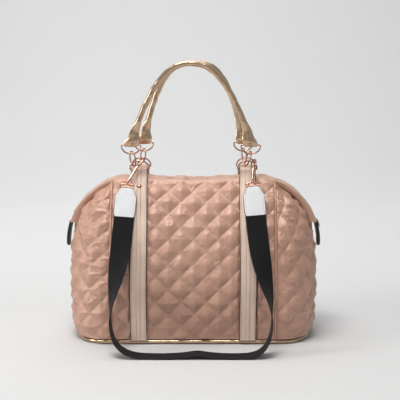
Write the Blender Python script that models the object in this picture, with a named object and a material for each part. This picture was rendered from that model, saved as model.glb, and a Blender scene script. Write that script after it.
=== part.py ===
"""Quilted weekender changing bag, with chain-hung handles and a clip-on strap.

Metres, +Z up.  The origin is on the floor under the middle of the base.
The front faces -Y, and +X is to the right of someone who looks at the front.
"""
import math

import bmesh
import bpy
from mathutils import Vector

# ---- driving dimensions --------------------------------------------------
GAP = 0.0003                # clearance between pieces that touch
SEAM_X = 0.148              # side seams, either side of the middle
STRAP_X = 0.098             # leather straps, either side of the middle
CREST_Z = 0.2955            # top edge of the bag
CREST_FLAT = 0.120          # the top edge is level out to here
WING_X = 0.226              # where the folded zip end hangs straight down
WING_Z = 0.212
CREST_DEPTH = 0.0305        # half the depth of the bag at its top edge
PANEL = 0.003               # quilted wall, two cloths and wadding
PANEL_FOOT = 0.0095         # lowest edge of the walls, above the piping
BASE_DEPTH = 0.092
BASE_LENGTH = 0.214         # half the length of the base
BASE_THICK = 0.005
PIPING = 0.0034             # radius of the gold piping
GUSSET_HALF = 0.0268        # half the width of the strip that holds the zip
GUSSET_THICK = 0.0022
TAPE_HALF = 0.0125
STRAP_WIDTH = 0.029
STRAP_THICK = 0.0022
WIRE = 0.0014               # radius of the rings' wire
RING_WIDE = 0.0175          # half the width of a D-ring
RING_HIGH = 0.0160
RING_CORNER = 0.0025
RING_BAR_Z = 0.3097         # the bars that the leather straps hold
HANDLE_BAR_Z = 0.3545       # the bars that the handle tabs hold
HARDWARE_Y = 0.0300         # plane of the rings, in front and behind
HANDLE_RADIUS = 0.0056
HANDLE_TOP = 0.5015
LINK_HALF = 0.0072          # half the width of a chain link
WEB_WIDTH = 0.0366
WEB_THICK = 0.0016
TAB_LONG = 0.0525           # white tab at each end of the shoulder strap
TAB_HALF_THICK = 0.0019
END_OUT_POWER = 0.80        # roundness of the end walls in plan, outwards
END_BACK_POWER = 0.86       # and from front to back
CREST_POWER = 0.714         # how sharply the top edge turns down into a wing
WING_ARC = 0.142            # length of top edge in one wing
PIPING_INSET = 0.0028       # the piping, the bottom and its board lie this far in
BASE_INSET = 0.0075
BOARD_INSET = 0.0125
BOARD_THICK = 0.0020
LINING_SLACK = 0.0065       # space between the walls' outside and the lining
LINING_THICK = 0.0010
STRIP_DROP = 0.0004         # gussets' upper surface below the top edge
GUSSET_INNER = 0.0062
TAPE_INNER = 0.0022
TAPE_DROP = 0.0012
TAPE_THICK = 0.0009
TAPE_REACH = 0.970          # shares of the top edge that the tape and chain run
CHAIN_REACH = 0.965
CHAIN_WIDTH = 0.0038
CHAIN_THICK = 0.0018
CHAIN_RISE = 0.0005
SLIDER_X = 0.118            # the zip's slider, closed
SLIDER_HIGH = 0.0022
END_TAB_THICK = 0.0034
STRAP_OFF = 0.0012          # leather strap's back above the quilting
STRAP_FOLD = 0.0032         # its middle line round a ring's bar
STRAP_FOOT_Z = 0.0085
RIVET_Z = 0.279
TAB_HIGH = 0.022            # leather folded round a handle ring
TAB_GAP = 0.0020            # half the space between a handle tab's two layers
TAB_THICK = 0.0014
TAB_WIDE = 0.0265
TAB_NARROW = 0.0160
HANDLE_FOOT = HANDLE_BAR_Z + 0.0060
HANDLE_END_HALF = 0.0085    # half width of a handle's flattened end
FLAT_RISE = 0.018           # the end is flat up to here, and round from ROUND_RISE
ROUND_RISE = 0.040
HOOK_SWING = -1.1           # direction of the hooks' eyes about their own length
EYE_SHIFT = 0.0010          # the ring's wire rests nearer the tip than the spine
EYE_BELOW = 0.0120
EYE_ABOVE = 0.0046
EYE_HALF = 0.0060
CLASP_WIRE = 0.0013
NECK_RISE = 0.0105          # swivel above the white tab


# ---- helpers ---------------------------------------------------------------
def material(name, colour, roughness, metallic=0.0):
    made = bpy.data.materials.new(name)
    made.use_nodes = True
    shader = made.node_tree.nodes["Principled BSDF"]
    shader.inputs["Base Color"].default_value = (*colour, 1.0)
    shader.inputs["Roughness"].default_value = roughness
    shader.inputs["Metallic"].default_value = metallic
    return made


def add(name, points, faces, look, pivot=(0.0, 0.0, 0.0), smooth=True):
    """One closed solid from world points, with its origin at its pivot."""
    mesh = bpy.data.meshes.new(name)
    origin = Vector(pivot)
    mesh.from_pydata([Vector(p) - origin for p in points], [], faces)
    solid = bmesh.new()
    solid.from_mesh(mesh)
    bmesh.ops.recalc_face_normals(solid, faces=solid.faces[:])
    solid.to_mesh(mesh)
    solid.free()
    if smooth:
        mesh.shade_smooth()
        mesh.set_sharp_from_angle(angle=math.radians(40))
    mesh.materials.append(look)
    made = bpy.data.objects.new(name, mesh)
    made.location = origin
    bpy.context.scene.collection.objects.link(made)
    return made


def tube(rows, closed_path=False):
    """Faces over rows of points, each row a closed ring of equal length."""
    points = [p for row in rows for p in row]
    around = len(rows[0])
    faces = []
    last = len(rows) if closed_path else len(rows) - 1
    for i in range(last):
        j = (i + 1) % len(rows)
        for k in range(around):
            m = (k + 1) % around
            faces.append((i * around + k, i * around + m,
                          j * around + m, j * around + k))
    if not closed_path:
        faces.append(tuple(range(around)))
        start = (len(rows) - 1) * around
        faces.append(tuple(range(start + around - 1, start - 1, -1)))
    return points, faces


def wire_rows(path, radii, sides, closed=False):
    """Round sections along a path, turned as little as possible between them."""
    count = len(path)
    rows = []
    side = None
    for i, point in enumerate(path):
        ahead = path[(i + 1) % count] if closed or i < count - 1 else point
        behind = path[i - 1] if closed or i > 0 else point
        along = (ahead - behind).normalized()
        if side is None:
            guess = Vector((0.0, 1.0, 0.0))
            if abs(along.dot(guess)) > 0.9:
                guess = Vector((1.0, 0.0, 0.0))
            side = guess
        side = (side - along * side.dot(along)).normalized()
        up = along.cross(side)
        radius = radii[i] if isinstance(radii, list) else radii
        rows.append([point + (side * math.cos(a) + up * math.sin(a)) * radius
                     for a in (2 * math.pi * k / sides for k in range(sides))])
    return rows


def ribbon_rows(path, across, faces_out, widths, thick):
    """Flat sections along a path; across and faces_out are unit vectors."""
    rows = []
    for point, side, out, width in zip(path, across, faces_out, widths):
        wide, deep = side * width / 2, out * thick / 2
        rows.append([point - wide - deep, point + wide - deep,
                     point + wide + deep, point - wide + deep])
    return rows


def smooth_value(table, at):
    """Smooth curve through a short table of (position, value) pairs."""
    if at <= table[0][0]:
        return table[0][1]
    for i in range(len(table) - 1):
        if at <= table[i + 1][0]:
            (a, fa), (b, fb) = table[i], table[i + 1]
            before = table[max(i - 1, 0)]
            after = table[min(i + 2, len(table) - 1)]
            slope_a = (fb - before[1]) / (b - before[0])
            slope_b = (after[1] - fa) / (after[0] - a)
            t = (at - a) / (b - a)
            h = b - a
            return ((2 * t ** 3 - 3 * t * t + 1) * fa
                    + (t ** 3 - 2 * t * t + t) * h * slope_a
                    + (3 * t * t - 2 * t ** 3) * fb
                    + (t ** 3 - t * t) * h * slope_b)
    return table[-1][1]


def smooth_route(points, step):
    """Points at an even step on one smooth curve through the given points."""
    fine = []
    ends = [2 * points[0] - points[1]] + points + [2 * points[-1] - points[-2]]
    for i in range(1, len(ends) - 2):
        p0, p1, p2, p3 = ends[i - 1:i + 3]
        for k in range(24):
            t = k / 24
            fine.append(0.5 * (2 * p1 + (p2 - p0) * t
                               + (2 * p0 - 5 * p1 + 4 * p2 - p3) * t * t
                               + (3 * p1 - p0 - 3 * p2 + p3) * t ** 3))
    fine.append(points[-1])
    lengths = [0.0]
    for a, b in zip(fine, fine[1:]):
        lengths.append(lengths[-1] + (b - a).length)
    count = max(2, round(lengths[-1] / step))
    even = []
    j = 0
    for i in range(count + 1):
        goal = lengths[-1] * i / count
        while j < len(fine) - 2 and lengths[j + 1] < goal:
            j += 1
        share = (goal - lengths[j]) / (lengths[j + 1] - lengths[j])
        even.append(fine[j].lerp(fine[j + 1], min(1.0, share)))
    return even


# ---- the bag's outer surface ----------------------------------------------
SIDE_REACH = ((0.0, BASE_LENGTH), (0.03, 0.222), (0.10, 0.2245), (0.165, 0.2235),
              (0.20, 0.2185), (0.223, 0.2105), (0.245, 0.199), (0.262, 0.184))
DEPTH_BELOW_CREST = ((0.0, CREST_DEPTH), (0.0105, 0.0385), (0.0205, 0.0465),
                     (0.0455, 0.062), (0.0955, 0.082), (0.1755, 0.098),
                     (0.2455, 0.098), (CREST_Z, BASE_DEPTH))
SIDE_TOP_Z = 0.262          # top edge of a side panel, in its middle
SIDE_SEAM_DROP = 0.0024     # side panel's top below the front panel's, at the seam


def crest(x):
    """Height of the bag's top edge, which falls away into the folded wings."""
    out = min(1.0, max(0.0, (abs(x) - CREST_FLAT) / (WING_X - CREST_FLAT)))
    return WING_Z + (CREST_Z - WING_Z) * (1 - out * out) ** CREST_POWER


def depth(x, z):
    """Half the depth of the bag at a height, measured down from the crest."""
    return smooth_value(DEPTH_BELOW_CREST, crest(x) - z)


def front_point(x, share, inset):
    z = PANEL_FOOT + share * (crest(x) - PANEL_FOOT)
    return Vector((x, -(depth(x, z) - inset), z))


def side_point(turn, share, inset, edge):
    """Point on the right side wall; turn runs from -1 (front) to 1 (back)."""
    angle = turn * math.pi / 2
    out = max(0.0, math.cos(angle)) ** END_OUT_POWER
    back = math.copysign(abs(math.sin(angle)) ** END_BACK_POWER, angle)
    top = crest(SEAM_X) - SIDE_SEAM_DROP
    top -= (top - SIDE_TOP_Z) * out
    z = PANEL_FOOT + share * (top - PANEL_FOOT)
    reach = smooth_value(SIDE_REACH, z) - inset - edge
    return Vector((edge + reach * out, back * (depth(SEAM_X, z) - inset), z))


def shell(point_at, across, levels, inner):
    """Closed wall: an outer sheet, an inner sheet and the rim that joins them."""
    points = []
    for inset in (0.0, inner):
        for j in range(levels + 1):
            for i in range(across + 1):
                points.append(point_at(i / across, j / levels, inset))
    row = across + 1
    sheet = row * (levels + 1)
    faces = []
    for j in range(levels):
        for i in range(across):
            a = j * row + i
            faces.append((a, a + 1, a + row + 1, a + row))
            faces.append((sheet + a, sheet + a + row, sheet + a + row + 1, sheet + a + 1))
    edge = list(range(row))
    edge += [j * row + across for j in range(1, levels + 1)]
    edge += [levels * row + i for i in range(across - 1, -1, -1)]
    edge += [j * row for j in range(levels - 1, 0, -1)]
    for a, b in zip(edge, edge[1:] + edge[:1]):
        faces.append((a, a + sheet, b + sheet, b))
    return points, faces


def build_walls(satin):
    half = SEAM_X - GAP / 2

    def front(u, v, inset):
        return front_point((2 * u - 1) * half, v, inset)

    def back(u, v, inset):
        point = front_point((2 * u - 1) * half, v, inset)
        return Vector((point.x, -point.y, point.z))

    def right(u, v, inset):
        return side_point(2 * u - 1, v, inset, SEAM_X + GAP / 2)

    def left(u, v, inset):
        point = right(u, v, inset)
        return Vector((-point.x, point.y, point.z))

    for name, at in (("front_panel", front), ("back_panel", back),
                     ("right_side_panel", right), ("left_side_panel", left)):
        add(name, *shell(at, 12, 10, PANEL), satin)


def base_outline(inset, height):
    """Plan of the bag at a height, as one closed loop."""
    half = SEAM_X + GAP / 2
    reach = smooth_value(SIDE_REACH, height) - half - inset
    deep = depth(0.0, height) - inset
    loop = []
    for side in (1, -1):
        for i in range(17):
            angle = side * math.pi / 2 - side * math.pi * i / 16
            turn = abs(math.sin(angle)) ** END_BACK_POWER
            y = -math.copysign(turn, math.sin(angle)) * deep
            x = half + reach * max(0.0, math.cos(angle)) ** END_OUT_POWER
            loop.append(Vector((side * x, y, height)))
    return loop


def build_base(satin, gold, board, lining):
    bottom = base_outline(BASE_INSET, 0.0)
    top = base_outline(BASE_INSET, BASE_THICK)
    add("base_panel", *tube([bottom, top]), satin, smooth=False)
    lane = base_outline(PIPING_INSET, PIPING + 0.0012)
    add("base_piping", *tube(wire_rows(lane, PIPING, 8, True), True), gold)
    foot = BASE_THICK + GAP
    plate = [base_outline(BOARD_INSET, foot), base_outline(BOARD_INSET, foot + BOARD_THICK)]
    add("base_board", *tube(plate), board, smooth=False)
    build_lining(lining, foot + BOARD_THICK + GAP)


def build_lining(look, floor_z):
    """Thin open sack a little inside the walls."""
    def loop(share, inset):
        ring = []
        for side in (1, -1):
            for i in range(9):
                wall = side_point(-side * (1 - i / 4), share, inset, SEAM_X)
                point = Vector((side * wall.x, wall.y, wall.z))
                point.z = max(point.z, floor_z) if share > 0 else floor_z
                ring.append(point)
        return ring

    shares = [0.0, 0.04, 0.14, 0.30, 0.46, 0.62, 0.76, 0.88, 0.965]
    outer = [loop(share, LINING_SLACK) for share in shares]
    inner = [loop(share, LINING_SLACK + LINING_THICK) for share in reversed(shares)]
    for point in inner[-1]:
        point.z += LINING_THICK
    add("lining", *tube(outer + inner), look)


# ---- zip -------------------------------------------------------------------
def crest_path(y, drop, reach=1.0, count=34):
    """Points along the top edge, out and down into both wings."""
    path = []
    for i in range(count + 1):
        t = 2 * i / count - 1
        straight = CREST_FLAT / (CREST_FLAT + WING_ARC)
        if abs(t) * reach <= straight:
            x = abs(t) * reach / straight * CREST_FLAT
            z = CREST_Z
            lean = 0.0
        else:
            turn = (abs(t) * reach - straight) / (1 - straight) * math.pi / 2
            x = CREST_FLAT + (WING_X - CREST_FLAT) * math.sin(turn)
            z = WING_Z + (CREST_Z - WING_Z) * max(0.0, math.cos(turn)) ** (2 * CREST_POWER)
            lean = turn
        out = Vector((math.copysign(math.sin(lean), t) if lean else 0.0, 0.0,
                      math.cos(lean)))
        point = Vector((math.copysign(x, t), y, z)) - out * drop
        path.append((point, out))
    return path


def strip_on_crest(name, y_mid, width, drop, thick, reach, look, count=34):
    path = crest_path(y_mid, drop + thick / 2, reach, count)
    rows = ribbon_rows([p for p, out in path], [Vector((0, 1, 0))] * len(path),
                       [out for p, out in path], [width] * len(path), thick)
    add(name, *tube(rows), look)


def build_zip(satin, tape, metal, leather):
    gusset_width = GUSSET_HALF - GUSSET_INNER
    for name, side in (("front", -1), ("back", 1)):
        strip_on_crest(name + "_zip_gusset", side * (GUSSET_INNER + gusset_width / 2),
                       gusset_width, STRIP_DROP, GUSSET_THICK, 1.0, satin)
        strip_on_crest(name + "_zip_tape", side * (TAPE_INNER + TAPE_HALF / 2),
                       TAPE_HALF, STRIP_DROP + GUSSET_THICK + TAPE_DROP, TAPE_THICK,
                       TAPE_REACH, tape)
    strip_on_crest("zip_chain", 0.0, CHAIN_WIDTH, STRIP_DROP + GUSSET_THICK - CHAIN_RISE,
                   CHAIN_THICK, CHAIN_REACH, metal)
    for name, side in (("right", 1), ("left", -1)):
        path = [Vector((side * (WING_X + 0.0006), 0, WING_Z - GAP - 0.0002)),
                Vector((side * (WING_X + 0.0030), 0, WING_Z - 0.012)),
                Vector((side * (WING_X + 0.0055), 0, WING_Z - 0.028)),
                Vector((side * (WING_X + 0.0065), 0, WING_Z - 0.040)),
                Vector((side * (WING_X + 0.0060), 0, WING_Z - 0.046))]
        outs = [Vector((side, 0, 0.12)).normalized()] * 5
        rows = ribbon_rows(path, [Vector((0, 1, 0))] * 5, outs,
                           [0.044, 0.042, 0.036, 0.030, 0.018], END_TAB_THICK)
        add(name + "_zip_end_tab", *tube(rows), leather)
    build_slider(metal)


def build_slider(metal):
    """Slider that rides on the chain, and the puller hung from its bail."""
    x, base = SLIDER_X, CREST_Z - STRIP_DROP - GUSSET_THICK + CHAIN_RISE + GAP
    body = [(-0.0070, 0.0042), (0.0045, 0.0048), (0.0080, 0.0030)]
    rows = []
    for along, wide in body:
        rows.append([Vector((x + along, -wide, base)), Vector((x + along, wide, base)),
                     Vector((x + along, wide, base + SLIDER_HIGH)),
                     Vector((x + along, -wide, base + SLIDER_HIGH))])
    add("zip_slider", *tube(rows), metal, (x, 0, base))
    pivot = Vector((x - 0.0030, 0, base + SLIDER_HIGH + GAP + 0.0014))
    half = 0.0030
    outline = [(0.0, half * 0.7), (0.004, half), (0.024, half), (0.027, half * 0.6)]
    rows = []
    for along, wide in outline:
        low, high = pivot.z - 0.0008, pivot.z + 0.0006
        here = pivot.x + 0.0006 - along
        rows.append([Vector((here, -wide, low)), Vector((here, wide, low)),
                     Vector((here, wide, high)), Vector((here, -wide, high))])
    add("zip_puller", *tube(rows), metal, pivot)


# ---- leather straps, rings and chain links ----------------------------------
def strap_point(side, z):
    """Middle of the leather strap's thickness, where it lies on the wall."""
    return Vector((0, side * (depth(STRAP_X, z) + STRAP_OFF + STRAP_THICK / 2), z))


def strap_path(side):
    """Side view of a leather strap: up the wall, over the ring's bar and back."""
    face = side * (HARDWARE_Y + STRAP_FOLD)
    path = []
    for share in (0.0, 0.08, 0.2, 0.35, 0.5, 0.64, 0.76, 0.86, 0.90, 0.935, 0.965):
        path.append(strap_point(side, STRAP_FOOT_Z + share * (CREST_Z - STRAP_FOOT_Z)))
    path.append(Vector((0, face, CREST_Z + 0.004)))
    centre = Vector((0, side * HARDWARE_Y, RING_BAR_Z))
    for i in range(9):
        angle = math.pi * i / 8
        path.append(centre + Vector((0, side * STRAP_FOLD * math.cos(angle),
                                     STRAP_FOLD * math.sin(angle))))
    path.append(Vector((0, side * (HARDWARE_Y - STRAP_FOLD), CREST_Z + 0.0030)))
    return path


def build_strap(name, x, side, leather):
    path = strap_path(side)
    outs = []
    for i, point in enumerate(path):
        along = path[min(i + 1, len(path) - 1)] - path[max(i - 1, 0)]
        outs.append(Vector((0, -along.z, along.y)).normalized())
    path = [Vector((x, p.y, p.z)) for p in path]
    rows = ribbon_rows(path, [Vector((1, 0, 0))] * len(path), outs,
                       [STRAP_WIDTH] * len(path), STRAP_THICK)
    add(name, *tube(rows), leather)


def build_rivet(name, x, side, metal):
    above, below = strap_point(side, RIVET_Z + 0.004), strap_point(side, RIVET_Z - 0.004)
    up = (above - below).normalized()
    out = Vector((0, side * up.z, -side * up.y))
    face = strap_point(side, RIVET_Z) + out * (STRAP_THICK / 2 + GAP + 0.0003)
    face.x = x
    rows = []
    for rise, radius in ((0.0, 0.0046), (0.0012, 0.0045), (0.0024, 0.0034),
                         (0.0030, 0.0016)):
        rows.append([face + out * rise + Vector((radius * math.cos(a), 0, 0))
                     + up * radius * math.sin(a)
                     for a in (2 * math.pi * k / 14 for k in range(14))])
    add(name, *tube(rows), metal)


def ring_path(x, y, bar_z, way):
    """D-ring: a straight bar, two small corners and a bow; way is 1 or -1."""
    flat = []
    inner = RING_WIDE - RING_CORNER
    bow = RING_HIGH - RING_CORNER
    flat += [(-inner, 0.0), (0.0, 0.0), (inner, 0.0)]
    flat.append((inner + RING_CORNER * 0.707, RING_CORNER * 0.293))
    for i in range(13):
        angle = math.pi * i / 12
        flat.append((RING_WIDE * math.cos(angle), RING_CORNER + bow * math.sin(angle)))
    flat.append((-inner - RING_CORNER * 0.707, RING_CORNER * 0.293))
    return [Vector((x + a, y, bar_z + way * b)) for a, b in flat]


def bow_height(offset):
    """Height of a ring's bow over its bar, at a distance from its middle."""
    share = min(1.0, abs(offset) / RING_WIDE)
    return RING_CORNER + (RING_HIGH - RING_CORNER) * math.sqrt(1 - share * share)


def link_path(low, high, turn):
    """Oval chain link from low to high, turned about its own long axis."""
    middle = (low + high) / 2
    up = (high - low).normalized()
    half = (high - low).length / 2
    side = Vector((math.cos(turn), math.sin(turn), 0.0))
    side = (side - up * side.dot(up)).normalized()
    path = []
    for i in range(18):
        angle = 2 * math.pi * i / 18
        rise = math.sin(angle)
        rise = math.copysign(abs(rise) ** 0.85, rise)
        path.append(middle + side * LINK_HALF * math.cos(angle) + up * half * rise)
    return path


# Each corner: name, strap's x, side, link's place along the strap ring, handle end's x.
CORNERS = (("front_left", -STRAP_X, -1, -0.0095, -0.1130),
           ("front_right", STRAP_X, -1, -0.0035, 0.1040),
           ("back_left", -STRAP_X, 1, 0.0015, -0.0930),
           ("back_right", STRAP_X, 1, -0.0015, 0.0930))
STRAP_TOP = RING_BAR_Z + STRAP_FOLD + STRAP_THICK / 2
LINK_FOOT = STRAP_TOP + WIRE + GAP + 0.0008
LINK_TOP = HANDLE_BAR_Z - RING_HIGH + 2 * WIRE + 0.0014
LINK_TURN = 0.95


def build_hardware(leather, metal):
    for name, x, side, catch, end_x in CORNERS:
        y = side * HARDWARE_Y
        build_strap(name + "_strap", x, side, leather)
        build_rivet(name + "_rivet", x, side, metal)
        ring = wire_rows(ring_path(x, y, RING_BAR_Z, 1), WIRE, 8, True)
        add(name + "_strap_ring", *tube(ring, True), metal, (x, y, RING_BAR_Z))
        low = Vector((x + catch, y, LINK_FOOT))
        high = Vector((end_x, y, LINK_TOP))
        pivot = Vector((x + catch, y, RING_BAR_Z + bow_height(catch)))
        link = wire_rows(link_path(low, high, LINK_TURN), WIRE * 0.94, 8, True)
        add(name + "_link", *tube(link, True), metal, pivot)
        ring = wire_rows(ring_path(end_x, y, HANDLE_BAR_Z, -1), WIRE, 8, True)
        add(name + "_handle_ring", *tube(ring, True), metal,
            (end_x, y, HANDLE_BAR_Z - RING_HIGH))


# ---- handles ----------------------------------------------------------------
def handle_height(share, power):
    """Height of the handle's middle at a share of its half span."""
    return HANDLE_FOOT + (HANDLE_TOP - HANDLE_FOOT) * (1 - abs(share) ** power)


def build_handle(name, side, left_x, right_x, power, leather):
    y = side * HARDWARE_Y
    middle, half = (left_x + right_x) / 2, (right_x - left_x) / 2
    raw = []
    for i in range(241):
        share = math.sin(math.pi / 2 * (i / 120 - 1))
        raw.append(Vector((middle + share * half, y, handle_height(share, power))))
    path = smooth_route(raw[::6], 0.0115)
    rows = []
    for i, point in enumerate(path):
        along = (path[min(i + 1, len(path) - 1)] - path[max(i - 1, 0)]).normalized()
        across = Vector((0, 1, 0)).cross(along).normalized()
        rise = point.z - HANDLE_FOOT
        flat = min(1.0, max(0.0, (rise - FLAT_RISE) / (ROUND_RISE - FLAT_RISE)))
        flat = flat * flat * (3 - 2 * flat)
        wide = HANDLE_END_HALF + (HANDLE_RADIUS - HANDLE_END_HALF) * flat
        thin = TAB_GAP - 0.0004 + (HANDLE_RADIUS - TAB_GAP + 0.0004) * flat
        rows.append([point + across * wide * math.cos(a)
                     + Vector((0, 1, 0)) * thin * math.sin(a)
                     for a in (2 * math.pi * k / 10 for k in range(10))])
    add(name + "_handle", *tube(rows), leather, (middle, y, HANDLE_BAR_Z))
    for end, x, inward in (("left", left_x, 1), ("right", right_x, -1)):
        build_handle_tab(name + "_handle_" + end + "_tab", x, y, inward, half, power,
                         leather)


def build_handle_tab(name, x, y, inward, half, power, leather):
    """Leather folded round the ring's bar, its two layers either side of the core."""
    reach = TAB_GAP + TAB_THICK / 2
    profile = []
    for i in range(5):
        profile.append((-reach, TAB_HIGH * (1 - i / 5)))
    for i in range(7):
        angle = math.pi + math.pi * i / 6
        profile.append((reach * math.cos(angle), reach * math.sin(angle)))
    for i in range(1, 6):
        profile.append((reach, TAB_HIGH * i / 5))
    path, outs, widths = [], [], []
    slope = power * (HANDLE_TOP - HANDLE_FOOT) / half
    for i, (out, rise) in enumerate(profile):
        ahead = profile[min(i + 1, len(profile) - 1)]
        behind = profile[max(i - 1, 0)]
        normal = Vector((0, ahead[1] - behind[1], behind[0] - ahead[0]))
        lifted = max(0.0, rise)
        path.append(Vector((x + inward * lifted / slope, y + out, HANDLE_BAR_Z + rise)))
        outs.append(normal.normalized())
        widths.append(TAB_WIDE - (TAB_WIDE - TAB_NARROW) * (lifted / TAB_HIGH) ** 1.3)
    rows = ribbon_rows(path, [Vector((1, 0, 0))] * len(path), outs, widths, TAB_THICK)
    add(name, *tube(rows), leather)


# ---- shoulder strap -----------------------------------------------------------
# Middle line of the webbing from its left tab to its right tab, chosen by hand:
# it hangs in front of the bag, turns edge-on near the floor and lies flat there.
WEB_ROUTE = ((-0.1235, -0.0795, 0.2300), (-0.1258, -0.0890, 0.2030),
             (-0.1289, -0.1000, 0.1740), (-0.1332, -0.1140, 0.1440),
             (-0.1379, -0.1280, 0.1154), (-0.1418, -0.1430, 0.0867),
             (-0.1434, -0.1560, 0.0600), (-0.1393, -0.1655, 0.0370),
             (-0.1290, -0.1705, 0.0190), (-0.1130, -0.1722, 0.0076),
             (-0.0930, -0.1725, 0.0026), (-0.0700, -0.1725, 0.0014),
             (-0.0450, -0.1725, 0.0014), (-0.0150, -0.1725, 0.0034),
             (0.0080, -0.1725, 0.0062), (0.0300, -0.1725, 0.0034),
             (0.0560, -0.1725, 0.0014), (0.0780, -0.1725, 0.0014),
             (0.0970, -0.1725, 0.0026), (0.1130, -0.1722, 0.0076),
             (0.1255, -0.1705, 0.0190), (0.1335, -0.1655, 0.0370),
             (0.1365, -0.1560, 0.0600), (0.1345, -0.1430, 0.0867),
             (0.1288, -0.1280, 0.1154), (0.1228, -0.1140, 0.1440),
             (0.1179, -0.1000, 0.1740), (0.1140, -0.0885, 0.2040),
             (0.1113, -0.0790, 0.2325))


def web_frames(path):
    """Across and facing vectors of the webbing, which turns a quarter on each fall."""
    across, facing = [], []
    for i, point in enumerate(path):
        along = (path[min(i + 1, len(path) - 1)] - path[max(i - 1, 0)]).normalized()
        turn = min(1.0, max(0.0, (0.200 - point.z) / 0.150))
        turn = turn * turn * (3 - 2 * turn) * math.pi / 2
        hand = 1 if point.x < 0 else -1
        side = Vector((math.cos(turn), -hand * math.sin(turn), 0.0)) * hand
        side = (side - along * side.dot(along)).normalized()
        across.append(side)
        facing.append(along.cross(side))
    return across, facing


def tab_outline():
    """Half widths of a white tab down its length, shaped like a milk bottle."""
    return ((0.0, 0.0112), (0.010, 0.0140), (0.0185, 0.0192), (0.030, 0.0192),
            (0.046, 0.0190), (0.0505, 0.0175), (TAB_LONG, 0.0150))


def build_clasp(name, end, foot, catch, swing, white, metal):
    """Tab, swivel base, hook and gate at one end of the shoulder strap."""
    rise = (end - foot).normalized()
    top = end + rise * GAP
    crown = top + rise * TAB_LONG
    across = (Vector((1, 0, 0)) - rise * rise.x).normalized()
    out = across.cross(rise).normalized()
    rows = []
    for down, half in tab_outline():
        centre = crown - rise * down
        rows.append([centre - across * half - out * TAB_HALF_THICK,
                     centre + across * half - out * TAB_HALF_THICK,
                     centre + across * half + out * TAB_HALF_THICK,
                     centre - across * half + out * TAB_HALF_THICK])
    add(name + "_strap_tab", *tube(rows), white)
    neck = crown + rise * NECK_RISE
    base = []
    for a, b in ((-0.0112, 0.0020), (0.0, 0.0019), (0.0112, 0.0020), (0.0126, 0.0038),
                 (0.0112, 0.0056), (0.0040, 0.0075), (0.0, 0.0080), (-0.0040, 0.0075),
                 (-0.0112, 0.0056), (-0.0126, 0.0038)):
        base.append(crown + across * a + rise * b)
    add(name + "_swivel_base", *tube(wire_rows(base, CLASP_WIRE, 8, True), True), metal)
    build_hook(name, neck, catch, swing, metal)


def build_hook(name, neck, catch, swing, metal):
    """Hook from its swivel post up round the ring's wire, and its spring gate."""
    up = (catch - neck).normalized()
    across = Vector((math.cos(swing), math.sin(swing), 0.0))
    across = (across - up * across.dot(up)).normalized()
    long = (catch - neck).length
    eye_low, eye_high, half = long - EYE_BELOW, long + EYE_ABOVE, EYE_HALF

    def at(a, b):
        return neck + across * a + up * b

    path = [at(0, 0), at(0, 0.0025), at(0, 0.0050), at(0.0012, eye_low - 0.0040),
            at(EYE_SHIFT + half, eye_low + 0.0010), at(EYE_SHIFT + half, eye_low + 0.0060)]
    radii = [0.0030, 0.0030, 0.0018, 0.0024, 0.0019, 0.0018]
    for i in range(7):
        angle = math.pi * i / 6
        path.append(at(EYE_SHIFT + half * math.cos(angle),
                       eye_high - half + half * math.sin(angle)))
        radii.append(0.0018 - 0.0003 * i / 6)
    add(name + "_hook", *tube(wire_rows(path, radii, 8)), metal, neck)
    gate_top = path[-1] - up * 0.0009
    gate_foot = at(-0.0034, eye_low - 0.0018)
    gate = [gate_top, gate_top.lerp(gate_foot, 0.5), gate_foot]
    add(name + "_gate", *tube(wire_rows(gate, 0.0012, 6)), metal, gate_foot)


def build_shoulder_strap(webbing, white, metal):
    route = smooth_route([Vector(p) for p in WEB_ROUTE], 0.0125)
    across, facing = web_frames(route)
    rows = ribbon_rows(route, across, facing, [WEB_WIDTH] * len(route), WEB_THICK)
    add("shoulder_webbing", *tube(rows), webbing)
    left_catch = Vector((-STRAP_X + 0.0020, -HARDWARE_Y, RING_BAR_Z + bow_height(0.002)))
    right_catch = Vector((STRAP_X + 0.0105, -HARDWARE_Y, RING_BAR_Z + bow_height(0.0105)))
    build_clasp("left", route[0], route[1], left_catch, HOOK_SWING, white, metal)
    build_clasp("right", route[-1], route[-2], right_catch, HOOK_SWING, white, metal)


# ---- build ---------------------------------------------------------------------
def build():
    for old in list(bpy.data.objects):
        bpy.data.objects.remove(old, do_unlink=True)
    satin = material("rose satin", (0.62, 0.40, 0.31), 0.42)
    gold = material("gold leather", (0.60, 0.42, 0.25), 0.30, 0.85)
    beige = material("beige leather", (0.58, 0.46, 0.38), 0.55)
    copper = material("rose gold metal", (0.80, 0.45, 0.34), 0.22, 1.0)
    black = material("black webbing", (0.016, 0.016, 0.018), 0.80)
    white = material("white leather", (0.86, 0.86, 0.88), 0.45)
    dark = material("black leather", (0.02, 0.02, 0.02), 0.50)
    lining = material("lining", (0.30, 0.27, 0.25), 0.75)
    board = material("stiffener", (0.12, 0.11, 0.10), 0.80)
    build_walls(satin)
    build_base(satin, gold, board, lining)
    build_zip(satin, lining, copper, dark)
    build_hardware(beige, copper)
    build_handle("front", -1, CORNERS[0][4], CORNERS[1][4], 2.3, gold)
    build_handle("back", 1, CORNERS[2][4], CORNERS[3][4], 3.0, gold)
    build_shoulder_strap(black, white, copper)


build()
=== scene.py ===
"""Looks of the quilted changing bag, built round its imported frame.  Metres, +Z up."""
import math

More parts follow.
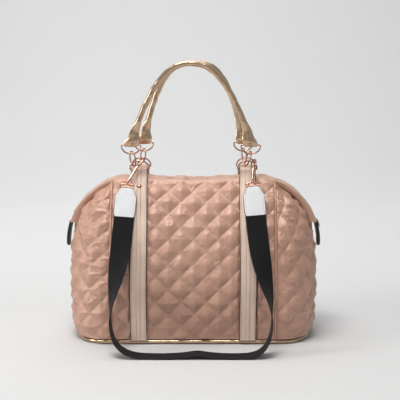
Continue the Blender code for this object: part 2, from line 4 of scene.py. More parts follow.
import bmesh
import bpy
import numpy as np
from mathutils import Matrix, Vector


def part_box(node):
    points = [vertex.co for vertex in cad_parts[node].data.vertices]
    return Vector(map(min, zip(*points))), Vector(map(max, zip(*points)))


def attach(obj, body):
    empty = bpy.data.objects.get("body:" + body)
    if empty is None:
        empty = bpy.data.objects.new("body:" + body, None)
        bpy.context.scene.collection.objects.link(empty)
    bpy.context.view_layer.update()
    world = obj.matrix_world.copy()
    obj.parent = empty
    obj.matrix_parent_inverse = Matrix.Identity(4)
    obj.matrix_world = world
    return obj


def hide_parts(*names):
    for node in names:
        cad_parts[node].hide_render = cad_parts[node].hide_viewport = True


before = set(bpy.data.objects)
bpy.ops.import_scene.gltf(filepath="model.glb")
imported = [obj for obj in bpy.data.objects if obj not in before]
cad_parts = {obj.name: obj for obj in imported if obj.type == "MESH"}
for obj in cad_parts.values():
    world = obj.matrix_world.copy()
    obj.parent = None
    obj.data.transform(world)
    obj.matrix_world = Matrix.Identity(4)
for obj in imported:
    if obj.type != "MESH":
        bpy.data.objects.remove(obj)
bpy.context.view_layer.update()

# ---- sizes shared with the frame -------------------------------------------
SEAM_X = 0.148
STRAP_X = 0.098
CREST_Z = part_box("front_panel")[1].z
CREST_FLAT = 0.120
CREST_POWER = 0.714         # roundness of the top edge beyond its flat middle
WING_ARC = 0.142            # the top edge's route over one wing, against CREST_FLAT
WING_X = 0.226
WING_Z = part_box("front_zip_gusset")[0].z
CREST_DEPTH = 0.0305
PANEL_FOOT = 0.0095
PANEL = 0.0030
SIDE_TOP_Z = 0.262
SIDE_SEAM_DROP = 0.0024
SIDE_RISE = 0.0050          # end walls' cloth reaches up under the folded zip ends
END_OUT_POWER, END_BACK_POWER = 0.80, 0.86      # plan of the bag's round ends
RING_BAR_Z = 0.3097
HANDLE_BAR_Z = 0.3545
HARDWARE_Y = 0.0300
RING_WIDE, RING_HIGH, RING_CORNER = 0.0175, 0.0160, 0.0025
WIRE = 0.0014
STRAP_HALF = 0.0145
STRAP_THICK = 0.0022
STRAP_FOOT = 0.0085
BAR_WRAP = 0.0032           # from a ring's bar to the middle of the leather round it
STITCH_LANES = (-0.0118, -0.0034, 0.0034, 0.0118)
SIDE_REACH = ((0.0, 0.214), (0.03, 0.222), (0.10, 0.2245), (0.165, 0.2235),
              (0.20, 0.2185), (0.223, 0.2105), (0.245, 0.199), (0.262, 0.184))
DEPTH_BELOW_CREST = ((0.0, CREST_DEPTH), (0.0105, 0.0385), (0.0205, 0.0465),
                     (0.0455, 0.062), (0.0955, 0.082), (0.1755, 0.098),
                     (0.2455, 0.098), (0.2955, 0.092))
# ---- sizes of the quilting ---------------------------------------------------
DIAMOND = 0.0456            # corner to corner of one diamond
PUFF = 0.0052               # height of a diamond's middle over its stitches
SINK = 0.0018               # stitches below the frame's surface
CLOTH_SLACK = 0.014         # share by which the cloth is longer than its backing
CLOTH_FRAMES = 14
CLOTH_CAP = 0.0015          # furthest that the simulation may move the cloth
WING_PUFF = 0.0082          # padding of the folded zip ends
TOP_POWER = 1.9             # end walls' top edges stay high beside the seams
GATHER_HIGH = 0.026         # height over which their cloth is drawn in under the zip
GATHER_DEPTH = 0.0245
LOW_BULGE = 0.0042          # end walls' swelling just above the base
CREST_SAG = 0.0040          # how far the top edge hangs between the handles


# ---- helpers: numbers and points ------------------------------------------------
def smoothstep(low, high, value):
    t = np.clip((value - low) / (high - low), 0.0, 1.0)
    return t * t * (3 - 2 * t)


def smooth_curve(table, at):
    """Smooth curve through a short table of (position, value) pairs, for arrays."""
    xs = np.array([row[0] for row in table])
    ys = np.array([row[1] for row in table])
    slopes = np.empty(len(xs))
    slopes[1:-1] = (ys[2:] - ys[:-2]) / (xs[2:] - xs[:-2])
    slopes[0] = (ys[1] - ys[0]) / (xs[1] - xs[0])
    slopes[-1] = (ys[-1] - ys[-2]) / (xs[-1] - xs[-2])
    at = np.clip(np.asarray(at, float), xs[0], xs[-1])
    i = np.clip(np.searchsorted(xs, at, side="right") - 1, 0, len(xs) - 2)
    h = xs[i + 1] - xs[i]
    t = (at - xs[i]) / h
    return ((2 * t ** 3 - 3 * t * t + 1) * ys[i] + (t ** 3 - 2 * t * t + t) * h * slopes[i]
            + (3 * t * t - 2 * t ** 3) * ys[i + 1] + (t ** 3 - t * t) * h * slopes[i + 1])


def points_of(x, y, z):
    """Points from three coordinates, each a number or an array."""
    return np.stack(np.broadcast_arrays(x, y, z), -1)


def unit(vectors):
    """A vector, or each row of an array, at length one."""
    vectors = np.asarray(vectors, float)
    return vectors / np.linalg.norm(vectors, axis=-1, keepdims=True)


def circle(count):
    """Angles at even steps round a full turn."""
    return np.linspace(0, 2 * math.pi, count, endpoint=False)


def lengths_along(path):
    """Distance along a path from its first point to each of its points."""
    step = np.linalg.norm(np.diff(path, axis=0), axis=1)
    return np.concatenate([[0], np.cumsum(step)])


# ---- helpers: meshes -----------------------------------------------------------
def assign(made, body, node=None):
    """Says which body a piece rides on, and the node it replaces."""
    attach(made, body)
    if node is not None:
        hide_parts(node)


def add_map(mesh, name, uvs):
    """Texture map with one (u, v) pair for each point of the mesh."""
    layer = mesh.uv_layers.new(name=name)
    index = np.empty(len(mesh.loops), np.int32)
    mesh.loops.foreach_get("vertex_index", index)
    layer.data.foreach_set("uv", np.asarray(uvs, float)[index].ravel())


def make_object(name, points, faces, look, uvs=None, smooth=True, sharp=50):
    """Mesh object from arrays; uvs are per point and become the map "cloth"."""
    mesh = bpy.data.meshes.new(name)
    mesh.from_pydata([tuple(p) for p in points], [], [tuple(f) for f in faces])
    if uvs is not None:
        add_map(mesh, "cloth", uvs)
    if smooth:
        mesh.shade_smooth()
        mesh.set_sharp_from_angle(angle=math.radians(sharp))
    mesh.materials.append(look)
    made = bpy.data.objects.new(name, mesh)
    bpy.context.scene.collection.objects.link(made)
    return made


def grid_faces(rows, columns, start=0, wrap=False, flip=False):
    """Faces of a grid of points that is stored row after row."""
    faces = []
    last = columns if wrap else columns - 1
    for j in range(rows - 1):
        for i in range(last):
            k = (i + 1) % columns
            a, b = start + j * columns + i, start + j * columns + k
            quad = (a, b, b + columns, a + columns)
            faces.append(quad[::-1] if flip else quad)
    return faces


def lofted(name, rows, look, closed=False, uvs=None, sharp=50):
    """Tube through rows of points; each row is a closed ring of equal length."""
    rows = np.asarray(rows, float)
    count, around = rows.shape[:2]
    faces = grid_faces(count, around, wrap=True)
    last = (count - 1) * around
    if closed:
        for i in range(around):
            k = (i + 1) % around
            faces.append((last + i, last + k, k, i))
    else:
        faces.append(tuple(range(around))[::-1])
        faces.append(tuple(range(last, last + around)))
    if uvs is None:
        round_ = lengths_along(np.vstack([rows[0], rows[0][:1]]))[:-1]
        u, v = np.meshgrid(round_, lengths_along(rows.mean(axis=1)))
        uvs = np.stack([u.ravel(), v.ravel()], 1)
    made = make_object(name, rows.reshape(-1, 3), faces, look, uvs, sharp=sharp)
    face_outward(made)
    return made


def face_outward(made):
    solid = bmesh.new()
    solid.from_mesh(made.data)
    bmesh.ops.recalc_face_normals(solid, faces=solid.faces[:])
    solid.to_mesh(made.data)
    solid.free()


def frames_along(path, closed=False):
    """Tangent, side and up arrays along a path, turned as little as possible."""
    path = np.asarray(path, float)
    ahead = np.roll(path, -1, 0)
    behind = np.roll(path, 1, 0)
    if not closed:
        ahead[-1], behind[0] = path[-1], path[0]
    along = unit(ahead - behind)
    side = np.array([0.0, 1.0, 0.0])
    if abs(along[0] @ side) > 0.9:
        side = np.array([1.0, 0.0, 0.0])
    sides = []
    for t in along:
        side = unit(side - t * (side @ t))
        sides.append(side)
    sides = np.array(sides)
    return along, sides, np.cross(along, sides)


def wire(name, path, radius, look, closed=False, sides=16):
    """Round wire along a path; radius is one number or one for each point."""
    path = np.asarray(path, float)
    side, up = frames_along(path, closed)[1:]
    radius = np.broadcast_to(np.asarray(radius, float), (len(path),))
    turn = circle(sides)
    rows = (path[:, None, :]
            + (side[:, None, :] * np.cos(turn)[None, :, None]
               + up[:, None, :] * np.sin(turn)[None, :, None]) * radius[:, None, None])
    return lofted(name, rows, look, closed)


def stitch(middle, reach, thin, thick, look):
    """One stitch: a short thread that is thicker in its middle."""
    return wire("stitch", [middle - reach, middle, middle + reach], [thin, thick, thin],
                look, sides=6)


def joined(name, pieces):
    """Joins finished mesh objects into one piece."""
    for other in bpy.context.selected_objects:
        other.select_set(False)
    for piece in pieces:
        piece.select_set(True)
    bpy.context.view_layer.objects.active = pieces[0]
    bpy.ops.object.join()
    pieces[0].name = name
    pieces[0].data.name = name
    return pieces[0]


def even_route(points, step):
    """Points at an even step on one smooth curve through the given points."""
    p = np.asarray(points, float)
    ends = np.vstack([2 * p[0] - p[1], p, 2 * p[-1] - p[-2]])
    t = np.linspace(0, 1, 24, endpoint=False)[:, None]
    parts = []
    for i in range(1, len(ends) - 2):
        a, b, c, d = ends[i - 1:i + 3]
        parts.append(0.5 * (2 * b + (c - a) * t + (2 * a - 5 * b + 4 * c - d) * t * t
                            + (3 * b - a - 3 * c + d) * t ** 3))
    fine = np.vstack(parts + [p[-1:]])
    length = lengths_along(fine)
    goal = np.linspace(0, length[-1], max(2, round(length[-1] / step)) + 1)
    return np.stack([np.interp(goal, length, fine[:, k]) for k in range(3)], 1)


# ---- helpers: materials ----------------------------------------------------------
class Look:
    """A Principled material and short calls that add nodes to it."""

    def __init__(self, name, roughness=0.5, metallic=0.0, **fixed):
        self.material = bpy.data.materials.new(name)
        self.material.use_nodes = True
        self.tree = self.material.node_tree
        self.shader = self.tree.nodes["Principled BSDF"]
        self.shader.inputs["Roughness"].default_value = roughness
        self.shader.inputs["Metallic"].default_value = metallic
        for socket, value in fixed.items():
            self.shader.inputs[socket.replace("_", " ")].default_value = value
        self.height = None

    def feed(self, socket, value):
        """Gives a socket a value or a colour, or links another node's output to it."""
        if isinstance(value, bpy.types.NodeSocket):
            self.tree.links.new(value, socket)
        elif socket.type == "RGBA":
            socket.default_value = (*value, 1.0)
        else:
            socket.default_value = value

    def node(self, kind, feeds=(), **settings):
        """Adds a node; feeds are (input's name or number, value or output) pairs."""
        made = self.tree.nodes.new(kind)
        for key, value in settings.items():
            setattr(made, key, value)
        for socket, value in feeds:
            self.feed(made.inputs[socket], value)
        return made

    def mapped(self, source, scale):
        return self.node("ShaderNodeMapping",
                         (("Scale", scale), ("Vector", source))).outputs[0]

    def cloth_uv(self, scale=(1.0, 1.0, 1.0)):
        return self.mapped(self.node("ShaderNodeUVMap", uv_map="cloth").outputs[0], scale)

    def place(self, scale=(1.0, 1.0, 1.0)):
        return self.mapped(self.node("ShaderNodeTexCoord").outputs["Object"], scale)

    def split(self, vector):
        return self.node("ShaderNodeSeparateXYZ", ((0, vector),)).outputs

    def noise(self, vector, scale, detail=3.0, rough=0.5):
        return self.node("ShaderNodeTexNoise",
                         (("Scale", scale), ("Detail", detail), ("Roughness", rough),
                          ("Vector", vector))).outputs[0]

    def wave(self, vector, scale, direction):
        return self.node("ShaderNodeTexWave", (("Scale", scale), ("Vector", vector)),
                         bands_direction=direction).outputs["Fac"]

    def cells(self, vector, scale):
        """Distance to the nearest border between irregular cells."""
        return self.node("ShaderNodeTexVoronoi", (("Scale", scale), ("Vector", vector)),
                         feature="DISTANCE_TO_EDGE").outputs["Distance"]

    def math(self, operation, a, b=0.0):
        return self.node("ShaderNodeMath", ((0, a), (1, b)), operation=operation).outputs[0]

    def ramp(self, factor, stops):
        made = self.node("ShaderNodeValToRGB", ((0, factor),))
        ramp = made.color_ramp
        while len(ramp.elements) < len(stops):
            ramp.elements.new(0.5)
        for element, (at, colour) in zip(ramp.elements, stops):
            element.position = at
            element.color = (*colour, 1.0)
        return made.outputs[0]

    def mix(self, factor, a, b, blend="MIX"):
        """Mixes two colours; inputs 6 and 7 are the node's pair of colour sockets."""
        return self.node("ShaderNodeMix", ((0, factor), (6, a), (7, b)),
                         data_type="RGBA", blend_type=blend).outputs[2]

    def colour(self, value):
        self.feed(self.shader.inputs["Base Color"], value)

    def roughness(self, factor, low, high):
        made = self.node("ShaderNodeMapRange",
                         (("To Min", low), ("To Max", high), ("Value", factor)))
        self.feed(self.shader.inputs["Roughness"], made.outputs[0])

    def bump(self, height, distance, strength=1.0):
        made = self.node("ShaderNodeBump", (("Distance", distance), ("Strength", strength),
                                            ("Height", height)))
        if self.height is not None:
            self.feed(made.inputs["Normal"], self.height)
        self.height = made.outputs[0]
        self.feed(self.shader.inputs["Normal"], self.height)


def satin_look(name, stitched, pale=0.0):
    """Rose satin: fine weave, soft crush marks, and on the quilting painted shade along the
    stitch grooves and thread dashes.
    """
    look = Look(name, 0.42, 0.13, Sheen_Weight=0.14, Sheen_Roughness=0.40,
                Sheen_Tint=(1.0, 0.90, 0.74, 1.0), Specular_IOR_Level=0.80)
    cloth = look.cloth_uv()
    cloud = look.noise(cloth, 9.0, 3.0)
    base = look.ramp(cloud, ((0.30, (0.445, 0.243, 0.170)),
                             (0.70, (0.525, 0.298, 0.212))))
    fine = look.noise(look.cloth_uv((1.0, 7.0, 1.0)), 260.0, 2.0)
    base = look.mix(0.10, base, look.ramp(fine, ((0.3, (0.40, 0.21, 0.15)),
                                                 (0.7, (0.74, 0.46, 0.36)))))
    base = look.mix(pale, base, (0.60, 0.44, 0.335))
    if stitched:
        base = painted_groove_shade_and_thread(look, base)
    look.colour(base)
    look.roughness(cloud, 0.40, 0.50)
    warp = look.wave(look.cloth_uv(), 620.0, "X")
    weft = look.wave(look.cloth_uv(), 620.0, "Y")
    look.bump(look.math("ADD", warp, weft), 0.00003, 0.5)
    crush = look.noise(look.cloth_uv((1.0, 1.6, 1.0)), 95.0, 4.0, 0.62)
    look.bump(crush, 0.0013, 0.45)
    return look.material


def painted_groove_shade_and_thread(look, base):
    """Paints shade into the stitch grooves, darkening the cloth towards each stitch line,
    and lays dashes of paler thread along them.
    """
    first, second = look.split(look.node("ShaderNodeUVMap",
                                         uv_map="quilt").outputs[0])[:2]
    for across, along in ((first, second), (second, first)):
        near = look.math("ABSOLUTE", look.math("SUBTRACT", look.math("FRACT", across), 0.5))
        line = look.math("GREATER_THAN", near, 0.478)
        # painted shade: the cloth is darkened towards each stitch line, where the grooves
        # between the puffs fall into shade
        groove = look.math("SMOOTH_MIN", near, 0.5)
        shade = look.node("ShaderNodeMapRange",
                          (("From Min", 0.40), ("From Max", 0.50), ("To Max", 0.62),
                           ("Value", groove)), interpolation_type="SMOOTHSTEP")
        base = look.mix(shade.outputs[0], base, (0.23, 0.115, 0.082))
        pitch = look.math("FRACT", look.math("MULTIPLY", along, 11.0))
        dash = look.math("MULTIPLY", line, look.math("GREATER_THAN", pitch, 0.35))
        base = look.mix(look.math("MULTIPLY", dash, 0.24), base, (0.60, 0.42, 0.33))
    return base


def leather_look(name, low, high, roughness, metallic=0.0, grain=520.0, depth=0.00025,
                 **fixed):
    """Leather: pebbled grain, slow colour drift and rubbed patches."""
    look = Look(name, roughness, metallic, **fixed)
    spot = look.place()
    drift = look.noise(spot, 34.0, 4.0, 0.6)
    look.colour(look.ramp(drift, ((0.28, low), (0.72, high))))
    look.roughness(look.noise(spot, 120.0, 3.0), roughness * 0.82, roughness * 1.2)
    look.bump(look.cells(spot, grain), depth, 0.5)
    look.bump(look.noise(spot, 60.0, 4.0, 0.6), 0.0010, 0.25)
    return look.material


def metallic_leather_look():
    """Coated gold leather: creased film over soft leather, with pale and dark streaks along
    its length painted in as the highlights and shade of creases.
    """
    look = Look("gold_leather", 0.30, 0.88, Specular_IOR_Level=0.6, Coat_Weight=0.25,
                Coat_Roughness=0.18)
    spot = look.place()
    # painted highlights and shade: the colour is streaked pale and dark along the handle's
    # length, standing in for light and shade on creases
    drift = look.noise(look.cloth_uv((1.0, 0.10, 1.0)), 260.0, 4.0, 0.60)
    look.colour(look.ramp(drift, ((0.25, (0.34, 0.225, 0.135)),
                                  (0.50, (0.58, 0.405, 0.265)),
                                  (0.78, (0.74, 0.555, 0.395)))))
    streak = look.noise(look.cloth_uv((1.0, 0.07, 1.0)), 420.0, 3.0, 0.6)
    look.roughness(streak, 0.17, 0.31)
    swirl = look.node("ShaderNodeTexNoise", (("Scale", 90.0), ("Vector", spot)))
    warped = look.node("ShaderNodeMix",
                       ((0, 0.02), (4, spot), (5, swirl.outputs["Color"])),
                       data_type="VECTOR")
    look.bump(look.cells(warped.outputs[1], 150.0), 0.00015, 0.12)
    look.bump(streak, 0.0003, 0.35)
    look.bump(look.noise(spot, 70.0, 3.0, 0.55), 0.0014, 0.30)
    return look.material


def metal_look():
    """Polished rose gold plating with faint brushed scratches."""
    look = Look("rose_gold_metal", 0.16, 1.0)
    spot = look.place()
    look.colour(look.ramp(look.noise(spot, 120.0, 3.0),
                          ((0.3, (0.47, 0.25, 0.175)), (0.7, (0.66, 0.40, 0.30)))))
    look.roughness(look.noise(look.place((1.0, 1.0, 8.0)), 400.0, 3.0), 0.10, 0.26)
    look.bump(look.noise(spot, 900.0, 2.0), 0.00006, 0.3)
    return look.material


def webbing_look():
    """Black herringbone webbing: slanted yarns that change hand in each lane."""
    look = Look("black_webbing", 0.72, 0.0, Sheen_Weight=0.04, Sheen_Roughness=0.5,
                Specular_IOR_Level=0.14)
    across, along = look.split(look.node("ShaderNodeUVMap",
                                         uv_map="cloth").outputs[0])[:2]
    slant = look.math("ADD", look.math("PINGPONG", across, 0.0030), along)
    yarn = look.math("SINE", look.math("MULTIPLY", slant, 4200.0))
    tone = look.math("ADD", look.math("MULTIPLY", yarn, 0.5), 0.5)
    look.colour(look.ramp(tone, ((0.0, (0.0035, 0.0035, 0.0042)),
                                 (1.0, (0.0125, 0.0125, 0.0140)))))
    look.bump(tone, 0.00022, 0.8)
    look.roughness(look.noise(look.cloth_uv(), 300.0, 2.0), 0.60, 0.82)
    return look.material


def cloth_look(name, low, high, scale=900.0):
    """Plain woven cloth for lining and zip tape."""
    look = Look(name, 0.72, 0.0, Sheen_Weight=0.15)
    spot = look.place()
    look.colour(look.ramp(look.noise(spot, 160.0, 3.0), ((0.3, low), (0.7, high))))
    warp = look.wave(spot, scale, "X")
    weft = look.wave(spot, scale, "Y")
    look.bump(look.math("MULTIPLY", warp, weft), 0.00012, 0.6)
    return look.material


QUILTED = satin_look("quilted_satin", True)
SATIN = satin_look("plain_satin", False)
BINDING = satin_look("binding_satin", False, 0.24)
GOLD = metallic_leather_look()
METAL = metal_look()
WEBBING = webbing_look()
BEIGE = leather_look("beige_leather", (0.640, 0.475, 0.383), (0.735, 0.566, 0.470), 0.50)
EDGE_PAINT = leather_look("edge_paint", (0.045, 0.030, 0.024), (0.075, 0.050, 0.040), 0.45)
THREAD = leather_look("beige_thread", (0.36, 0.255, 0.20), (0.46, 0.335, 0.265), 0.60,
                      grain=2200.0)
SEAM_THREAD = leather_look("seam_thread", (0.20, 0.105, 0.078), (0.30, 0.165, 0.125), 0.60,
                           grain=2200.0)
WHITE = leather_look("white_leather", (0.70, 0.705, 0.725), (0.76, 0.765, 0.78), 0.38,
                     grain=900.0, depth=0.00012)
BLACK = leather_look("black_leather", (0.010, 0.009, 0.009), (0.022, 0.019, 0.018), 0.42)
LINING = cloth_look("lining_cloth", (0.13, 0.10, 0.085), (0.18, 0.145, 0.125))
TAPE = cloth_look("zip_tape", (0.22, 0.155, 0.125), (0.30, 0.215, 0.175), 1500.0)
BOARD = cloth_look("stiffener", (0.010, 0.009, 0.008), (0.020, 0.018, 0.016), 700.0)


# ---- the bag's surface ---------------------------------------------------------
def crest(x):
    """Height of the top edge, as the frame has it."""
    out = np.clip((np.abs(x) - CREST_FLAT) / (WING_X - CREST_FLAT), 0.0, 1.0)
    return WING_Z + (CREST_Z - WING_Z) * (1 - out * out) ** CREST_POWER


def slump(x, z):
    """How far the cloth of the upper bag sags between the handles and at its ends."""
    middle = CREST_SAG * np.clip(1 - (x / 0.082) ** 2, 0.0, 1.0)
    ripple = 0.0007 * np.sin(x * 95.0 + 0.6) + 0.0005 * np.sin(x * 171.0 + 2.0)
    return (middle + ripple) * smoothstep(0.20, CREST_Z, z)


def depth_at(x, z):
    return smooth_curve(DEPTH_BELOW_CREST, crest(x) - z)


def wall_front(side):
    """Front (side -1) or back (1) wall: points over shares across and up."""
    def at(u, v):
        x = (2 * u - 1) * (SEAM_X - 0.0002)
        z = PANEL_FOOT + v * (crest(x) - PANEL_FOOT)
        return np.stack([x, side * depth_at(x, z), z - slump(x, z)], -1)
    return at


def wall_end(side):
    """Right (side 1) or left (-1) end wall, from its front seam to its back seam."""
    def at(u, v):
        angle = (2 * u - 1) * math.pi / 2
        out = np.clip(np.cos(angle), 0.0, 1.0) ** END_OUT_POWER
        back = np.sign(angle) * np.abs(np.sin(angle)) ** END_BACK_POWER
        top = crest(SEAM_X) - SIDE_SEAM_DROP
        top = top - (top - SIDE_TOP_Z - SIDE_RISE) * out ** TOP_POWER
        z = PANEL_FOOT + v * (top - PANEL_FOOT)
        edge = SEAM_X + 0.0002
        x = edge + (smooth_curve(SIDE_REACH, z) - edge) * out
        x = x - 0.6 * np.maximum(0.0, z - SIDE_TOP_Z) * out
        x = x + LOW_BULGE * out * np.exp(-((z - 0.030) / 0.020) ** 2)
        deep = depth_at(SEAM_X, z)
        gather = smoothstep(0.0, 0.30, out) * smoothstep(top - GATHER_HIGH, top - 0.002, z)
        y = back * (deep + (GATHER_DEPTH - deep) * gather)
        return np.stack([side * x, y, z - slump(x, z) * 0.5], -1)
    return at


def arc_lengths(points, axis):
    step = np.linalg.norm(np.diff(points, axis=axis), axis=-1)
    total = np.cumsum(step, axis=axis)
    start = np.zeros_like(np.take(total, [0], axis=axis))
    return np.concatenate([start, total], axis=axis)


def value_noise(u, v, cell, seed):
    """Smooth random field over cloth coordinates, from -1 to 1."""
    rng = np.random.default_rng(seed)
    table = rng.uniform(-1, 1, (64, 64))
    a, b = u / cell + 17.0, v / cell + 23.0
    i, j = np.floor(a).astype(int), np.floor(b).astype(int)
    f, g = a - i, b - j
    f, g = f * f * (3 - 2 * f), g * g * (3 - 2 * g)
    def pick(p, q):
        return table[p % 64, q % 64]
    return ((pick(i, j) * (1 - f) + pick(i + 1, j) * f) * (1 - g)
            + (pick(i, j + 1) * (1 - f) + pick(i + 1, j + 1) * f) * g)


def quilt_height(u, v, seed):
    """Height of the quilted cloth over its stitches, and its lattice coordinates."""
    uw = u + 0.0016 * value_noise(u, v, 0.060, seed)
    vw = v + 0.0016 * value_noise(u, v, 0.060, seed + 1)
    p, q = (uw + vw) / DIAMOND, (uw - vw) / DIAMOND
    fp, fq = p - np.floor(p), q - np.floor(q)
    near_p, near_q = 1 - np.abs(2 * fp - 1), 1 - np.abs(2 * fq - 1)
    dome = (1 - (1 - near_p) ** 2.0) * (1 - (1 - near_q) ** 2.0)
    roof = np.minimum(near_p, near_q)
    rng = np.random.default_rng(seed + 2)
    plump = rng.uniform(0.78, 1.14, (97, 97))
    lean = rng.uniform(-0.55, 0.55, (2, 97, 97))
    cell = (np.floor(p).astype(int) % 97, np.floor(q).astype(int) % 97)
    height = PUFF * (0.46 * dome + 0.54 * roof) * plump[cell]
    height += 0.0016 * dome * (lean[0][cell] * (fp - 0.5) + lean[1][cell] * (fq - 0.5))
    for near, along, shift in ((near_p, q, 0.0), (near_q, p, 0.37)):
        away = near * DIAMOND * 0.35
        pucker = np.sin((along + shift) * 2 * math.pi * 6.5
                        + 2.2 * value_noise(u, v, 0.018, seed + 3))
        height += 0.00085 * pucker * np.exp(-away / 0.0032) * smoothstep(0, 0.14, near)
    fold = value_noise(u + 0.35 * v, v, 0.021, seed + 4)
    height += 0.0009 * np.abs(fold) * dome
    return height, p, q


def settle_cloth(outer, pinned):
    """Lets the quilted cloth swell and crease between its stitches by simulation.

    Every second point is simulated; its movement is capped and spread to all points.
    """
    coarse, held = outer[::2, ::2], pinned[::2, ::2]
    rows, columns = coarse.shape[:2]
    cloth = make_object("cloth_in_work", coarse.reshape(-1, 3), grid_faces(rows, columns),
                        SATIN, smooth=False)
    group = cloth.vertex_groups.new(name="stitched")
    for index, weight in enumerate(held.ravel()):
        if weight > 0.01:
            group.add([index], float(weight), "REPLACE")
    press = cloth.modifiers.new("cloth", "CLOTH")
    fabric = press.settings
    fabric.quality = 4
    fabric.mass = 0.12
    fabric.tension_stiffness = fabric.compression_stiffness = 12.0
    fabric.shear_stiffness = 4.0
    fabric.bending_stiffness = 0.02
    fabric.vertex_group_mass = "stitched"
    fabric.shrink_min = -CLOTH_SLACK
    fabric.use_pressure = True
    fabric.uniform_pressure_force = 0.7
    fabric.effector_weights.gravity = 0.0
    press.collision_settings.use_collision = False
    press.collision_settings.use_self_collision = False
    for moment in range(1, CLOTH_FRAMES + 1):
        bpy.context.scene.frame_set(moment)
    seen = cloth.evaluated_get(bpy.context.evaluated_depsgraph_get())
    settled = np.empty(rows * columns * 3)
    seen.data.vertices.foreach_get("co", settled)
    bpy.data.objects.remove(cloth, do_unlink=True)
    bpy.context.scene.frame_set(1)
    move = settled.reshape(rows, columns, 3) - coarse
    size = np.linalg.norm(move, axis=-1, keepdims=True) + 1e-9
    move = move * np.minimum(1.0, CLOTH_CAP / size)
    full = np.empty_like(outer)
    down, along = np.arange(outer.shape[0]) / 2, np.arange(outer.shape[1]) / 2
    for k in range(3):
        wide = np.array([np.interp(along, np.arange(columns), line)
                         for line in move[..., k]])
        full[..., k] = np.array([np.interp(down, np.arange(rows), line)
                                 for line in wide.T]).T
    return outer + full


def quilted_wall(name, at, across, up, seed, shift, node, straps, rumple):
    """Closed quilted wall: padded outer cloth, plain backing and rolled edges.

    The quilt map is 0.5 where the cloth is not quilted, so neither thread nor painted
    groove shade is drawn there.
    """
    u, v = np.meshgrid(np.linspace(0, 1, across + 1), np.linspace(0, 1, up + 1))
    base = at(u, v)
    du = np.gradient(base, axis=1)
    dv = np.gradient(base, axis=0)
    normal = np.cross(du, dv)
    normal /= np.linalg.norm(normal, axis=-1)[..., None] + 1e-12
    if (normal * (base - np.array([0, 0, 0.15]))).sum(-1).mean() < 0:
        normal = -normal
    along_u = arc_lengths(base, 1)
    along_u -= along_u[:, [across // 2]]
    along_v = arc_lengths(base, 0)
    height, p, q = quilt_height(along_u + shift, along_v, seed)
    height = height * (0.62 + 0.38 * smoothstep(0.010, 0.075, along_v))
    swell = (0.0016 * value_noise(along_u, along_v, 0.085, seed + 7)
             + 0.0009 * value_noise(along_u, along_v, 0.040, seed + 8))
    lying = value_noise(along_u * 0.45, along_v, 0.013, seed + 9)
    swell += 0.0008 * lying * (1 - smoothstep(0.020, 0.080, along_v))
    crumple = 1 - np.abs(value_noise(along_u + 0.4 * along_v, along_v * 1.7, 0.024,
                                     seed + 10))
    finer = value_noise(along_u - 0.5 * along_v, along_v * 1.5, 0.011, seed + 12)
    swell += rumple * (0.0016 * crumple ** 3 + 0.0004 * finer - 0.0005)
    rim = np.minimum(along_u - along_u[:, :1], along_u[:, -1:] - along_u)
    low, high = along_v, along_v[-1:] - along_v
    held = smoothstep(0.0, 0.0045, rim) * smoothstep(0.0, 0.0045, low)
    held = held * smoothstep(0.0050, 0.0095, high)
    if straps:
        beside = np.abs(np.abs(base[..., 0]) - STRAP_X) - STRAP_HALF
        under = smoothstep(-0.001, 0.006, beside)
        height = height * (0.10 + 0.90 * under)
        swell = swell * under
    lift = (height - SINK) * held + swell * held - 0.0004 * (1 - held)
    seam = np.exp(-((high - 0.0056) / 0.0010) ** 2)
    lift = lift - 0.0007 * seam
    curl = 0.0016 * np.exp(-rim / 0.0016) + 0.0014 * np.exp(-high / 0.0014)
    outer = base + normal * (lift - curl)[..., None]
    lane = np.minimum(1 - np.abs(2 * (p - np.floor(p)) - 1),
                      1 - np.abs(2 * (q - np.floor(q)) - 1))
    pinned = np.maximum(1 - smoothstep(0.05, 0.16, lane), 1 - held)
    if straps:
        pinned = np.maximum(pinned, 1 - under)
    outer = settle_cloth(outer, pinned)
    inner = base - normal * PANEL
    points = np.concatenate([outer.reshape(-1, 3), inner.reshape(-1, 3)])
    columns, rows = across + 1, up + 1
    sheet = columns * rows
    faces = grid_faces(rows, columns) + grid_faces(rows, columns, sheet, flip=True)
    edge = list(range(columns)) + [j * columns + across for j in range(1, rows)]
    edge += [up * columns + i for i in range(across - 1, -1, -1)]
    edge += [j * columns for j in range(up - 1, 0, -1)]
    faces += [(a, a + sheet, b + sheet, b) for a, b in zip(edge, edge[1:] + edge[:1])]
    cloth = np.stack([along_u.ravel(), along_v.ravel()], 1)
    made = make_object(name, points, faces, QUILTED, np.vstack([cloth, cloth]), sharp=60)
    lattice = np.stack([p.ravel(), q.ravel()], 1)
    lattice[held.ravel() < 0.45] = 0.5
    add_map(made.data, "quilt", np.vstack([lattice, lattice]))
    face_outward(made)
    assign(made, "bag", node)


def build_seam_cords():
    """Thin satin cords sewn into the four upright seams, with a row of stitches."""
    for name, side, hand in (("front_left", -1, 0.0), ("front_right", -1, 1.0),
                             ("back_left", 1, 0.0), ("back_right", 1, 1.0)):
        share = np.linspace(0.004, 0.992, 150)
        route = wall_front(side)(np.full(150, hand), share)
        route = route + np.array([0.0, side * 0.0002, 0.0])
        girth = 0.00155 + 0.00022 * np.sin(share * 210.0) * np.sin(share * 37.0 + 1.0)
        cord = wire(name + "_seam_cord", route, girth, SATIN, sides=12)
        assign(cord, "bag")
        inner = -1 if hand else 1
        stitches = []
        for i in range(3, 146, 2):
            ahead = route[i + 1] - route[i]
            spot = route[i] + np.array([inner * 0.0033, side * 0.0010, 0.0])
            stitches.append(stitch(spot + ahead * 0.5, ahead * 0.5, 0.00022, 0.00042,
                                   SEAM_THREAD))
        thread = joined(name + "_seam_thread", stitches)
        assign(thread, "bag")


